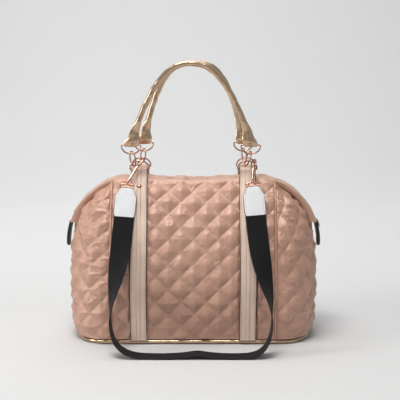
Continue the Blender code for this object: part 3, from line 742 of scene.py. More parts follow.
def build_walls():
    fine = 0.0016
    across, up = 2 * round(SEAM_X / fine), 2 * round(0.1575 / fine)
    for name, side, seed in (("front", -1, 11), ("back", 1, 23)):
        quilted_wall(name + "_quilt", wall_front(side), across, up, seed, 0.0,
                     name + "_panel", True, 0.25)
    across, up = 2 * round(0.150 / fine), 2 * round(0.1425 / fine)
    for name, side, seed in (("right", 1, 37), ("left", -1, 41)):
        quilted_wall(name + "_end_quilt", wall_end(side), across, up, seed, 0.011,
                     name + "_side_panel", False, 1.0)


build_walls()
build_seam_cords()


# ---- zip, gussets and wings ---------------------------------------------------------
def crest_route(reach, count):
    """Points and outward directions along the top edge, out into both wings."""
    t = np.linspace(-1, 1, count)
    level = CREST_FLAT / (CREST_FLAT + WING_ARC)
    share = np.abs(t) * reach
    turn = np.clip((share - level) / (1 - level), 0, 1) * math.pi / 2
    flat = share <= level
    x = np.where(flat, share / level * CREST_FLAT,
                 CREST_FLAT + (WING_X - CREST_FLAT) * np.sin(turn))
    fall = np.cos(turn) ** (2 * CREST_POWER)
    z = np.where(flat, CREST_Z, WING_Z + (CREST_Z - WING_Z) * fall)
    out = points_of(np.sign(t) * np.sin(turn), 0, np.cos(turn))
    return points_of(np.sign(t) * x, 0, z), out


def rounded_band(half, thick, steps=5, across=14):
    """Ring of (across, out) pairs for a flat band with round edges."""
    edge = thick / 2
    ring = []
    for i in range(across + 1):
        ring.append((-half + edge + (2 * half - thick) * i / across, edge))
    for i in range(1, steps):
        angle = math.pi / 2 - math.pi * i / steps
        ring.append((half - edge + edge * math.cos(angle), edge * math.sin(angle)))
    for i in range(across + 1):
        ring.append((half - edge - (2 * half - thick) * i / across, -edge))
    for i in range(1, steps):
        angle = -math.pi / 2 - math.pi * i / steps
        ring.append((-half + edge + edge * math.cos(angle), edge * math.sin(angle)))
    return np.array(ring)


def wing_fill(out):
    """Thickness that the folded cloth of a wing has below its upper surface."""
    padding = smoothstep(0.134, 0.162, out) + 0.45 * smoothstep(0.200, 0.218, out)
    return WING_PUFF * padding


def band_on_crest(name, y_mid, half, drop, thick, reach, look, count, swell=0.0):
    """Band that follows the top edge; swell puffs its middle and wrinkles it."""
    points, out = crest_route(reach, count)
    ring = rounded_band(half, thick)
    rows = []
    sag = slump(points[:, 0], points[:, 2])
    for i, (point, way) in enumerate(zip(points, out)):
        centre = point - way * (drop + thick / 2)
        centre = centre + np.array([0, y_mid, -sag[i]])
        belly = swell * (1 - (ring[:, 0] / half) ** 2) * (ring[:, 1] > 0)
        belly = belly - (wing_fill(abs(point[0])) * (1 - (ring[:, 0] / half) ** 6)
                         * (ring[:, 1] < 0) * (swell > 0))
        rumple = 0.0
        if swell:
            place = np.full(len(ring), i * 0.0046)
            rumple = 0.0011 * value_noise(place, ring[:, 0] + y_mid, 0.017, 71)
            rumple = rumple + 0.0007 * value_noise(place, ring[:, 0], 0.007, 72)
            rumple = rumple * (ring[:, 1] > 0)
        rows.append(centre + points_of(0, ring[:, 0], 0)
                    + way * (ring[:, 1] + belly + rumple)[:, None])
    return lofted(name, rows, look)


def build_gussets():
    """Satin strips beside the zip; their ends stand off the body as folded wings."""
    for name, side in (("front", -1), ("back", 1)):
        strip = band_on_crest(name + "_gusset_satin", side * 0.0168, 0.0104, 0.0006,
                              0.0022, 1.0, BINDING, 150, swell=0.0013)
        assign(strip, "bag", name + "_zip_gusset")
        tape = band_on_crest(name + "_tape_cloth", side * 0.0084, 0.0061, 0.0036,
                             0.0009, 0.97, TAPE, 110)
        assign(tape, "bag", name + "_zip_tape")
    build_zip_teeth()


def build_zip_teeth():
    """Two rows of closed metal teeth along the middle of the top edge."""
    route = even_route(crest_route(0.965, 150)[0], 0.0026)
    block = ((-1, -1, -1), (1, -1, -1), (1, 1, -1), (-1, 1, -1),
             (-0.8, -1, 1), (0.8, -1, 1), (0.8, 0.6, 1), (-0.8, 0.6, 1))
    faces_of = ((3, 2, 1, 0), (4, 5, 6, 7), (0, 1, 5, 4), (1, 2, 6, 5), (2, 3, 7, 6),
                (3, 0, 4, 7))
    vertices, faces = [], []
    flat = np.array([0.0, 1.0, 0.0])
    for i, (point, t) in enumerate(zip(route, frames_along(route)[0])):
        hand = 1 if i % 2 else -1
        lift = np.cross(t, flat)
        lift *= np.sign(lift[2] + 1e-9) if abs(t[2]) < 0.98 else 1
        sag = slump(point[0], point[2])
        centre = point - lift * 0.0029 + flat * hand * 0.0011 + np.array([0, 0, -sag])
        start = len(vertices)
        for a, b, c in block:
            vertices.append(centre + t * a * 0.0009 + flat * b * 0.0017 + lift * c * 0.0008)
        faces += [tuple(start + k for k in face) for face in faces_of]
    teeth = make_object("zip_teeth", vertices, faces, METAL, smooth=False)
    face_outward(teeth)
    assign(teeth, "bag", "zip_chain")


def build_zip_ends():
    """Black leather tabs sewn round the zip's ends."""
    for name, side in (("right", 1), ("left", -1)):
        route = even_route([(side * (WING_X - 0.0004), 0, WING_Z + 0.0015),
                            (side * (WING_X + 0.0030), 0, WING_Z - 0.012),
                            (side * (WING_X + 0.0056), 0, WING_Z - 0.028),
                            (side * (WING_X + 0.0064), 0, WING_Z - 0.046)], 0.0016)
        count = len(route)
        rows = []
        for i, point in enumerate(route):
            share = i / (count - 1)
            half = 0.0222 - 0.0070 * share ** 1.6
            close = max(0.0, (share - 0.86) / 0.14)
            half *= math.sqrt(max(0.03, 1 - close * close * 0.80))
            ring = rounded_band(half, 0.0050, across=16)
            stitch = np.exp(-((np.abs(ring[:, 0]) - half + 0.0032) / 0.0007) ** 2)
            out = ring[:, 1] - 0.0005 * stitch * np.sign(ring[:, 1])
            rows.append(points_of(point[0] + side * out, ring[:, 0],
                                  point[2] + 0.10 * out))
        tab = lofted(name + "_zip_end_leather", rows, BLACK)
        assign(tab, "bag", name + "_zip_end_tab")


def build_wing_flap():
    """Loose end of the binding cloth that sticks out over the right end tab."""
    rows = []
    for share in np.linspace(0, 1, 12):
        half = 0.0150 - 0.0040 * share ** 2
        ring = rounded_band(half, 0.0016, across=12)
        wave = 0.0006 * np.sin(ring[:, 0] * 420.0 + share * 2.0) * share
        x = WING_X + 0.0040 + 0.0040 * share ** 1.5
        rows.append(points_of(x + ring[:, 1] + wave, ring[:, 0],
                              WING_Z + 0.0015 - 0.0120 * share))
    flap = lofted("right_wing_flap", rows, SATIN)
    assign(flap, "bag")


# Part: name, node, rows, half width and its change with the shares between which it
# changes, roundness of the ends, and depth of a groove across it.
ZIP_PARTS = (("slider_body", "zip_slider", 15, 0.0046, -0.0016, (0.55, 1.0),
              (0.08, 8), 0.0),
             ("puller_blade", "zip_puller", 25, 0.0021, 0.0011, (0.05, 0.35),
              (0.05, 10), 0.10))


def build_slider():
    """Slider that narrows to its nose, and a flat puller."""
    for name, node, count, root, change, span, (least, power), groove in ZIP_PARTS:
        low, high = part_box(node)
        middle = (low + high) / 2
        start, reach = (high.x, low.x - high.x) if groove else (low.x, high.x - low.x)
        rows = []
        for share in np.linspace(0, 1, count):
            half = root + change * smoothstep(*span, share)
            half *= math.sqrt(max(least, 1 - (2 * share - 1) ** power))
            ring = rounded_band(half, high.z - low.z, across=6)
            flatter = 1 - groove * math.exp(-((share - 0.78) / 0.05) ** 2)
            rows.append(points_of(start + share * reach, ring[:, 0],
                                  middle.z + ring[:, 1] * flatter))
        assign(lofted(name, rows, METAL), node, node)


# ---- base ---------------------------------------------------------------------------
def base_loop(inset, height, steps):
    """Plan of the bag at a height: two round ends joined by straight sides."""
    half = SEAM_X + 0.00015
    reach = float(smooth_curve(SIDE_REACH, height)) - half - inset
    deep = float(depth_at(np.array(0.0), height)) - inset
    loop = []
    for side in (1, -1):
        for i in range(steps + 1):
            angle = side * (math.pi / 2 - math.pi * i / steps)
            back = math.copysign(abs(math.sin(angle)) ** END_BACK_POWER, math.sin(angle))
            x = half + reach * max(0.0, math.cos(angle)) ** END_OUT_POWER
            loop.append((side * x, -back * deep, height))
    return np.array(loop)


def plate(name, levels, look):
    """Closed plate with the bag's plan, through (inset, height) levels."""
    rows = []
    for inset, height in levels:
        ring = base_loop(inset, 0.0, 36)
        ring[:, 2] = height
        rows.append(ring)
    return lofted(name, rows, look)


def build_base():
    """Gold piping round the foot, the satin base and the stiffener board inside."""
    loop = base_loop(0.0028, 0.0046, 48)
    route = even_route(np.vstack([loop, loop[:1]]), 0.0030)[:-1]
    piping = wire("piping_cord", route, 0.0034, GOLD, closed=True, sides=14)
    assign(piping, "bag", "base_piping")
    panel = plate("base_cloth", ((0.060, 0.0006), (0.030, 0.0002), (0.012, 0.0),
                                 (0.0078, 0.0008), (0.0074, 0.0024), (0.0078, 0.0044),
                                 (0.012, 0.0050), (0.060, 0.0050)), SATIN)
    assign(panel, "bag", "base_panel")
    low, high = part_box("base_board")
    inset = float(base_loop(0.0, 0.0, 36)[:, 0].max()) - high.x
    board = plate("stiffener_board",
                  [(inset + more, height) for more, height in (
                      (0.060, low.z), (0.0006, low.z), (0.0, low.z + 0.0004),
                      (0.0, high.z - 0.0004), (0.0006, high.z), (0.060, high.z))], BOARD)
    assign(board, "bag", "base_board")


def body_ring(share, inset):
    """Closed loop round the inside of all four walls, at a share of their height."""
    across = np.linspace(0, 1, 36, endpoint=False)
    up = np.full(36, share)
    loop = np.vstack([wall_front(-1)(across, up), wall_end(1)(across, up),
                      wall_front(1)(1 - across, up), wall_end(-1)(1 - across, up)])
    ahead = np.roll(loop, -3, axis=0) - np.roll(loop, 3, axis=0)
    ahead /= np.linalg.norm(ahead[:, :2], axis=1)[:, None] + 1e-9
    loop[:, 0] -= ahead[:, 1] * inset
    loop[:, 1] += ahead[:, 0] * inset
    return loop


def build_lining():
    """Loose cloth cup inside the walls, open under the zip, with a turned top edge."""
    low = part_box("lining")[0].z
    rows = []
    for thick, steps in ((0.0, range(1, 27)), (0.0009, range(26, 0, -1))):
        ring_rows = []
        for i in steps:
            share = 0.012 + 0.878 * i / 26
            sway = 0.0006 * math.sin(i * 1.3) + 0.009 * max(0.0, share - 0.70) / 0.19
            ring_rows.append(body_ring(share, 0.0046 + thick + sway))
        foot = ring_rows[0 if thick == 0.0 else -1].copy()
        foot[:, 2] = low + thick
        floor = foot * np.array([0.12, 0.12, 1.0])
        near = foot * np.array([0.985, 0.97, 1.0])
        rows += [floor, near] + ring_rows if thick == 0.0 else ring_rows + [near, floor]
    cup = lofted("lining_cup", rows, LINING)
    assign(cup, "bag", "lining")


# ---- leather straps, rivets and stitching ---------------------------------------------
def strap_profile():
    """Half section of a strap: paint-edged rim, four stitch grooves, raised middle."""
    across = np.linspace(-STRAP_HALF + 0.0004, STRAP_HALF - 0.0004, 59)
    top = np.full(len(across), STRAP_THICK / 2)
    for lane in STITCH_LANES:
        top -= 0.00045 * np.exp(-((across - lane) / 0.00050) ** 2)
    top += 0.00035 * (smoothstep(-0.0034, -0.0026, across)
                      - smoothstep(0.0026, 0.0034, across))
    top -= 0.0005 * smoothstep(STRAP_HALF - 0.0014, STRAP_HALF - 0.0004, np.abs(across))
    return across, top


def strap_route(side):
    """Side view of a strap: up the wall, over the ring's bar and back down."""
    points = []
    for share in (0.0, 0.04, 0.08, 0.2, 0.35, 0.5, 0.64, 0.76, 0.86, 0.90, 0.935, 0.965):
        z = STRAP_FOOT + share * (CREST_Z - STRAP_FOOT)
        y = float(depth_at(np.array(STRAP_X), z)) + 0.0014 + STRAP_THICK / 2
        points.append((0, side * y, z))
    points.append((0, side * (HARDWARE_Y + 0.0033), CREST_Z + 0.0045))
    for i in range(9):
        angle = math.pi * i / 8
        points.append((0, side * (HARDWARE_Y + BAR_WRAP * math.cos(angle)),
                       RING_BAR_Z + BAR_WRAP * math.sin(angle)))
    points.append((0, side * (HARDWARE_Y - BAR_WRAP), CREST_Z + 0.0032))
    return even_route(points, 0.0015)


def build_strap(name, x, side):
    route = strap_route(side)
    tangent = unit(np.gradient(route, axis=0))
    out = points_of(0, -tangent[:, 2], tangent[:, 1])
    out *= np.sign((out[0] * np.array([0, side, 0])).sum())
    across, top = strap_profile()
    ring_a = np.concatenate([across, across[::-1]])
    ring_o = np.concatenate([top, -np.full(len(across), STRAP_THICK / 2)])
    drift = 0.00045 * np.sin(np.arange(len(route)) * 0.043 + x * 40)
    rows = [point + points_of(x + ring_a + aside, 0, 0) + way * ring_o[:, None]
            for point, way, aside in zip(route, out, drift)]
    strap = lofted(name + "_strap_leather", rows, BEIGE, sharp=40)
    assign(strap, "bag", name + "_strap")
    edges = []
    turn = circle(10)
    for hand in (-1, 1):
        line = route + points_of(x + hand * (STRAP_HALF - 0.0002) + drift, 0, 0)
        edges.append(lofted(name + "_edge", line[:, None, :]
                            + points_of(np.cos(turn) * 0.00075, 0, 0)
                            + out[:, None, :] * (np.sin(turn) * 0.00125)[None, :, None],
                            EDGE_PAINT))
    paint = joined(name + "_strap_edge_paint", edges)
    assign(paint, "bag")
    build_stitches(name, x, route, out)


def build_stitches(name, x, route, out):
    """Thread stitches lying in the strap's grooves, each a small closed bead."""
    length = lengths_along(route)
    stop = length[-1] - 0.016
    vertices, faces = [], []
    ring = [(math.cos(a), math.sin(a)) for a in circle(6)]
    for lane in STITCH_LANES:
        for at in np.arange(0.004, stop, 0.0042):
            start = len(vertices)
            for share, size in ((-1.0, 0.25), (-0.55, 0.9), (0.55, 0.9), (1.0, 0.25)):
                here = at + share * 0.00155
                centre = np.array([np.interp(here, length, route[:, k]) for k in range(3)])
                way = np.array([np.interp(here, length, out[:, k]) for k in range(3)])
                for c, s in ring:
                    vertices.append(centre + np.array([x + lane + c * 0.00040 * size, 0, 0])
                                    + way * (STRAP_THICK / 2 - 0.00012
                                             + s * 0.00036 * size))
            for level in range(3):
                for k in range(6):
                    m = (k + 1) % 6
                    faces.append((start + level * 6 + k, start + level * 6 + m,
                                  start + (level + 1) * 6 + m, start + (level + 1) * 6 + k))
            faces.append(tuple(start + k for k in range(6))[::-1])
            faces.append(tuple(start + 18 + k for k in range(6)))
    thread = make_object(name + "_strap_thread", vertices, faces, THREAD)
    face_outward(thread)
    fold = int(np.argmax(route[:, 2])) - 11
    ridge = route[fold] + out[fold] * (STRAP_THICK / 2 + 0.0001)
    cross = [stitch(ridge + np.array([x + a, 0, 0]), np.array([0.0014, 0, 0]), 0.00015,
                    0.00040, THREAD) for a in np.linspace(-0.0108, 0.0108, 6)]
    thread = joined(name + "_strap_thread", [thread] + cross)
    assign(thread, "bag")


# Rise over the leather and radius, from the washer's foot to the dome's top.
RIVET_PROFILE = ((0.0, 0.0047), (0.0006, 0.0048), (0.0010, 0.0045), (0.0011, 0.0040),
                 (0.0018, 0.0038), (0.0026, 0.0033), (0.0032, 0.0024), (0.0035, 0.0012),
                 (0.0036, 0.0003))


def build_rivet(name, side):
    """Dome rivet on its washer, set square on the leather."""
    low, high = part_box(name + "_rivet")
    centre = np.array((low + high) / 2)
    strap = strap_route(side)
    outer = strap[:int(np.argmax(strap[:, 2])) - 12]
    near = int(np.argmin(np.abs(outer[:, 2] - centre[2])))
    up = unit(strap[near + 3] - strap[near - 3])
    out = np.array([0, side * up[2], -side * up[1]])
    foot = strap[near] + np.array([centre[0], 0, 0]) + out * (STRAP_THICK / 2 - 0.0002)
    rows = []
    for rise, radius in RIVET_PROFILE:
        rows.append([foot + out * rise + np.array([radius * math.cos(a), 0, 0])
                     + up * radius * math.sin(a) for a in circle(32)])
    rivet = lofted(name + "_rivet_dome", rows, METAL)
    assign(rivet, "bag", name + "_rivet")


# ---- rings, links, hooks -----------------------------------------------------------
def ring_route(x, y, bar_z, way):
    """D-ring: straight bar, two small corners and a bow."""
    inner = RING_WIDE - RING_CORNER
    flat = [(a, 0.0) for a in np.linspace(-inner, inner, 9)]
    for i in range(1, 5):
        angle = -math.pi / 2 + math.pi / 2 * i / 5
        flat.append((inner + RING_CORNER * math.cos(angle),
                     RING_CORNER + RING_CORNER * math.sin(angle)))
    for angle in np.linspace(0, math.pi, 37):
        flat.append((RING_WIDE * math.cos(angle),
                     RING_CORNER + (RING_HIGH - RING_CORNER) * math.sin(angle)))
    for i in range(1, 5):
        angle = math.pi + math.pi / 2 * i / 5
        flat.append((-inner + RING_CORNER * math.cos(angle),
                     RING_CORNER + RING_CORNER * math.sin(angle)))
    return np.array([(x + a, y, bar_z + way * b) for a, b in flat])


def link_route(low, high, turn):
    """Oval link between two points, turned about its long axis."""
    low, high = np.array(low), np.array(high)
    up = unit(high - low)
    half = np.linalg.norm(high - low) / 2
    side = np.array([math.cos(turn), math.sin(turn), 0.0])
    side = unit(side - up * (side @ up))
    middle = (low + high) / 2
    route = []
    for angle in circle(48):
        rise = math.copysign(abs(math.sin(angle)) ** LINK_POWER, math.sin(angle))
        route.append(middle + side * LINK_HALF * math.cos(angle) + up * half * rise)
    return np.array(route)


LINK_FOOT = RING_BAR_Z + BAR_WRAP + STRAP_THICK / 2 + WIRE + 0.0011
LINK_TOP = HANDLE_BAR_Z - RING_HIGH + 2 * WIRE + 0.0014
LINK_TURN = 0.95
LINK_HALF = 0.0072          # half width of a link
LINK_POWER = 0.85           # below 1 its ends are a little square
# Corner: name, strap's x, side, link's place on the strap ring, handle end's x.
CORNERS = (("front_left", -STRAP_X, -1, -0.0095, -0.1130),
           ("front_right", STRAP_X, -1, -0.0035, 0.1040),
           ("back_left", -STRAP_X, 1, 0.0015, -0.0930),
           ("back_right", STRAP_X, 1, -0.0015, 0.0930))


def build_hardware():
    for name, x, side, catch, end_x in CORNERS:
        y = side * HARDWARE_Y
        build_strap(name, x, side)
        build_rivet(name, side)
        pieces = (("_strap_ring", ring_route(x, y, RING_BAR_Z, 1), WIRE),
                  ("_link", link_route((x + catch, y, LINK_FOOT), (end_x, y, LINK_TOP),
                                       LINK_TURN), WIRE * 0.96),
                  ("_handle_ring", ring_route(end_x, y, HANDLE_BAR_Z, -1), WIRE))
        for kind, route, radius in pieces:
            made = wire(name + kind + "_wire", route, radius, METAL, closed=True)
            assign(made, name + kind, name + kind)


# ---- handles -----------------------------------------------------------------------
HANDLE_RADIUS = 0.0056
HANDLE_TOP = 0.5015
HANDLE_FOOT = HANDLE_BAR_Z + 0.0060
HANDLE_STEP = 0.0016        # length between the points of a handle's route
FLAT_WIDE, FLAT_THIN = 0.0085, 0.0016           # half sizes of its flat ends
TAB_HIGH = 0.022
TAB_REACH = 0.0027          # half the space between the middles of a tab's layers
FRONT_POWER, BACK_POWER = 2.3, 3.0


def handle_route(side, left_x, right_x, power):
    middle, half = (left_x + right_x) / 2, (right_x - left_x) / 2
    share = np.sin(np.linspace(-math.pi / 2, math.pi / 2, 81))
    z = HANDLE_FOOT + (HANDLE_TOP - HANDLE_FOOT) * (1 - np.abs(share) ** power)
    raw = points_of(middle + share * half, side * HARDWARE_Y, z)
    return even_route(raw, HANDLE_STEP)


def build_handle(name, side, left_x, right_x, power, seed):
    """Rolled leather handle: wrinkled, with its stitched seam turned inwards."""
    route = handle_route(side, left_x, right_x, power)
    along = unit(np.gradient(route, axis=0))
    wide_way = points_of(along[:, 2], 0, -along[:, 0])
    wide_way *= np.where(wide_way[:, [2]] < 0, -1, 1)
    ring = circle(40)
    length = np.arange(len(route)) * HANDLE_STEP
    rise = route[:, 2] - HANDLE_FOOT
    round_ = smoothstep(0.018, 0.040, rise)
    rows = []
    for i, point in enumerate(route):
        wide = FLAT_WIDE + (HANDLE_RADIUS - FLAT_WIDE) * round_[i]
        thin = FLAT_THIN + (HANDLE_RADIUS - FLAT_THIN) * round_[i]
        here = np.full(len(ring), length[i])
        girth = ring * HANDLE_RADIUS
        crumple = (0.00042 * value_noise(here * 0.9, girth + 0.3, 0.0085, seed)
                   + 0.00022 * value_noise(here, girth + 0.7, 0.0032, seed + 1)
                   - 0.00030 * np.abs(value_noise(here * 1.3, girth * 0.5, 0.0060,
                                                  seed + 2)))
        off_seam = np.mod(ring + math.pi / 2 + math.pi, 2 * math.pi) - math.pi
        seam = np.exp(-(off_seam / 0.16) ** 2)
        swell = crumple * round_[i] - 0.0007 * seam * round_[i]
        across = (wide + swell) * np.cos(ring + math.pi / 2)
        deep = (thin + swell) * np.sin(ring + math.pi / 2)
        rows.append(point + wide_way[i] * across[:, None] + points_of(0, deep, 0))
    handle = lofted(name + "_handle_leather", rows, GOLD)
    assign(handle, name + "_handle", name + "_handle")
    half = (right_x - left_x) / 2
    for end, x, inward in (("left", left_x, 1), ("right", right_x, -1)):
        build_handle_tab(name, end, x, side * HARDWARE_Y, inward, half, power, seed)


def build_handle_tab(name, end, x, y, inward, half, power, seed):
    """Leather folded round the ring's bar and stitched to the handle's flat end."""
    profile = [(-TAB_REACH, TAB_HIGH * (1 - share)) for share in np.linspace(0, 0.93, 14)]
    profile += [(TAB_REACH * math.cos(a), TAB_REACH * math.sin(a))
                for a in np.linspace(math.pi, 2 * math.pi, 13)]
    profile += [(TAB_REACH, TAB_HIGH * share) for share in np.linspace(0.07, 1, 14)]
    profile = np.array(profile)
    slope = power * (HANDLE_TOP - HANDLE_FOOT) / half
    step = unit(np.gradient(profile, axis=0))
    across = np.linspace(-1, 1, 23)
    rows = []
    for i, (out, rise) in enumerate(profile):
        lifted = max(0.0, rise)
        share = lifted / TAB_HIGH
        wide = 0.01325 - 0.00525 * float(smoothstep(0.30, 1.0, share))
        lip = 0.0010 * max(0.0, 1 - (1 - share) / 0.12) if share > 0.88 else 0.0
        wide -= lip + 0.0022 * smoothstep(0.0002, 0.0027, -rise)
        normal = np.array([0, step[i][1], -step[i][0]])
        centre = np.array([x + inward * lifted / slope, y + out, HANDLE_BAR_Z + rise])
        thick = 0.0007 - 0.00035 * smoothstep(0.90, 1.0, np.abs(across))
        stitch = 0.00028 * np.exp(-((np.abs(across) - 0.78) / 0.05) ** 2)
        fold = 0.00025 * value_noise(across * 0.012, np.full(23, rise + out), 0.006,
                                     seed + 5)
        pillow = 0.0034 * (1 - across ** 2) * smoothstep(-0.001, 0.006, rise)
        pillow = pillow * (1 - 0.75 * smoothstep(0.55, 1.0, share))
        outer = thick - stitch + fold * (np.abs(across) < 0.9) + pillow
        span = np.array([1.0, 0, 0])
        top = centre + span * (across * wide)[:, None] + normal * outer[:, None]
        low = centre + span * (across * wide)[::-1, None] - normal * 0.0007
        rows.append(np.vstack([top, low]))
    tab = lofted(name + "_handle_" + end + "_tab_leather", rows, GOLD, sharp=40)
    assign(tab, name + "_handle", name + "_handle_" + end + "_tab")


def build_handles():
    build_handle("front", -1, CORNERS[0][4], CORNERS[1][4], FRONT_POWER, 101)
    build_handle("back", 1, CORNERS[2][4], CORNERS[3][4], BACK_POWER, 131)


# ---- shoulder strap ----------------------------------------------------------------
WEB_HALF = 0.0183
WEB_THICK = 0.0016
TAB_LONG = 0.0525
HOOK_TURN = -1.1
HOOK_FOOT = 0.0105          # from a tab's crown to the foot of its hook
EYE_SHIFT = 0.0010
# Middle line of the webbing, left tab to right tab: down in front of the bag, edge-on
# near the floor, and flat on the floor.
WEB_ROUTE = ((-0.1235, -0.0795, 0.2300), (-0.1258, -0.0890, 0.2030),
             (-0.1289, -0.1000, 0.1740), (-0.1332, -0.1140, 0.1440),
             (-0.1379, -0.1280, 0.1154), (-0.1418, -0.1430, 0.0867),
             (-0.1434, -0.1560, 0.0600), (-0.1393, -0.1655, 0.0370),
             (-0.1290, -0.1705, 0.0190), (-0.1130, -0.1722, 0.0076),
             (-0.0930, -0.1725, 0.0026), (-0.0700, -0.1725, 0.0014),
             (-0.0450, -0.1725, 0.0014), (-0.0150, -0.1725, 0.0034),
             (0.0080, -0.1725, 0.0062), (0.0300, -0.1725, 0.0034),
             (0.0560, -0.1725, 0.0014), (0.0780, -0.1725, 0.0014),
             (0.0970, -0.1725, 0.0026), (0.1130, -0.1722, 0.0076),
             (0.1255, -0.1705, 0.0190), (0.1335, -0.1655, 0.0370),
             (0.1365, -0.1560, 0.0600), (0.1345, -0.1430, 0.0867),
             (0.1288, -0.1280, 0.1154), (0.1228, -0.1140, 0.1440),
             (0.1179, -0.1000, 0.1740), (0.1140, -0.0885, 0.2040),
             (0.1113, -0.0790, 0.2325))


def bow_height(offset):
    share = min(1.0, abs(offset) / RING_WIDE)
    return RING_CORNER + (RING_HIGH - RING_CORNER) * math.sqrt(1 - share * share)


def web_frames(route):
    """Across and facing directions; the webbing turns a quarter on each fall."""
    along = unit(np.gradient(route, axis=0))
    turn = smoothstep(0.0, 1.0, (0.200 - route[:, 2]) / 0.150) * math.pi / 2
    hand = np.where(route[:, 0] < 0, 1.0, -1.0)
    side = points_of(np.cos(turn) * hand, -np.sin(turn), 0)
    side = unit(side - along * (side * along).sum(1)[:, None])
    return side, np.cross(along, side)


def build_webbing():
    """Black webbing with bound edges and a faint cupping across its width."""
    route = even_route(WEB_ROUTE, 0.0022)
    side, facing = web_frames(route)
    ring = rounded_band(WEB_HALF, WEB_THICK, across=20)
    edge = smoothstep(0.86, 0.93, np.abs(ring[:, 0]) / WEB_HALF)
    length = np.arange(len(route)) * 0.0022
    cup = 0.0004 * np.sin(length * 21.0) + 0.0003 * np.sin(length * 47.0 + 1.0)
    rows, flat = [], []
    for i, point in enumerate(route):
        lift = cup[i] * (1 - (ring[:, 0] / WEB_HALF) ** 2)
        if point[2] < 0.02:
            lift = np.abs(lift)
        thick = ring[:, 1] * (1 - 0.10 * edge)
        rows.append(point + side[i] * ring[:, :1] + facing[i] * (thick + lift)[:, None])
        flat.append(np.stack([ring[:, 0], np.full(len(ring), length[i])], 1))
    web = lofted("shoulder_web", rows, WEBBING, uvs=np.vstack(flat), sharp=55)
    assign(web, "shoulder_strap", "shoulder_webbing")
    return web, route


def strap_tab_half(down):
    """Half width of a white tab below its crown, shaped like a milk bottle."""
    return np.interp(down, (0.0, 0.0010, 0.0165, 0.0490, 0.0512, TAB_LONG),
                     (0.0112, 0.0118, 0.0194, 0.0190, 0.0180, 0.0160))


def build_strap_tab(name, crown, rise, across, out):
    """White leather tab: padded face, stitch line and a dark painted edge."""
    rows, rims = [], []
    downs = np.linspace(0.0, TAB_LONG, 45)
    s = np.linspace(-1, 1, 41)
    for down in downs:
        share = down / TAB_LONG
        half = float(strap_tab_half(down))
        half -= 0.0030 * (1 - math.sqrt(max(0.0, 1 - max(0.0, (0.06 - share) / 0.06) ** 2)))
        place = s * (half - 0.0006)
        rim = half - np.abs(place)
        rim = np.minimum(rim, np.minimum(down + 0.0007, TAB_LONG - down + 0.0007))
        thick = 0.00175 - 0.0007 * np.exp(-rim / 0.0012)
        thick -= 0.00042 * np.exp(-((rim - 0.0028) / 0.0005) ** 2)
        thick += 0.0003 * smoothstep(0.004, 0.010, rim)
        centre = crown - rise * down
        top = centre + across * place[:, None] + out * thick[:, None]
        low = centre + across * place[::-1, None] - out * thick[::-1, None]
        rows.append(np.vstack([top, low]))
        rims.append(half)
    tab = lofted(name + "_tab_leather", rows, WHITE, sharp=40)
    assign(tab, "shoulder_strap", name + "_strap_tab")
    outline = [crown - rise * (d - 0.0001) + across * (h - 0.0005)
               for d, h in zip(downs, rims)]
    outline += [crown - rise * TAB_LONG + across * s * (rims[-1] - 0.0005)
                for s in np.linspace(0.9, -0.9, 13)]
    outline += [crown - rise * (d - 0.0001) - across * (h - 0.0005)
                for d, h in zip(downs[::-1], rims[::-1])]
    outline += [crown + across * s * (rims[0] - 0.0005) for s in np.linspace(-0.9, 0.9, 9)]
    loop = even_route(np.array(outline + outline[:1]), 0.0014)[:-1]
    centre = loop.mean(0)
    turn = circle(10)
    rows = []
    for point in loop:
        away = unit(point - centre)
        rows.append(point + away * (0.0003 + np.cos(turn) * 0.00055)[:, None]
                    + out * (np.sin(turn) * 0.00150)[:, None])
    edge = lofted(name + "_tab_edge_paint", rows, EDGE_PAINT, closed=True)
    assign(edge, "shoulder_strap")
    stitches = []
    inner = list(zip(downs, rims))[4:-4]
    line = [crown - rise * d + across * (h - 0.0034) for d, h in inner]
    line += [crown - rise * d - across * (h - 0.0034) for d, h in inner[::-1]]
    line = even_route(np.array(line + line[:1]), 0.0042)
    for i, point in enumerate(line[:-1]):
        ahead = unit(line[i + 1] - point) * 0.0014
        middle = (point + line[i + 1]) / 2
        stitches += [stitch(middle + out * face * 0.00150, ahead, 0.00016, 0.00030, THREAD)
                     for face in (1, -1)]
    thread = joined(name + "_tab_thread", stitches)
    assign(thread, "shoulder_strap")
    return [tab, edge, thread]


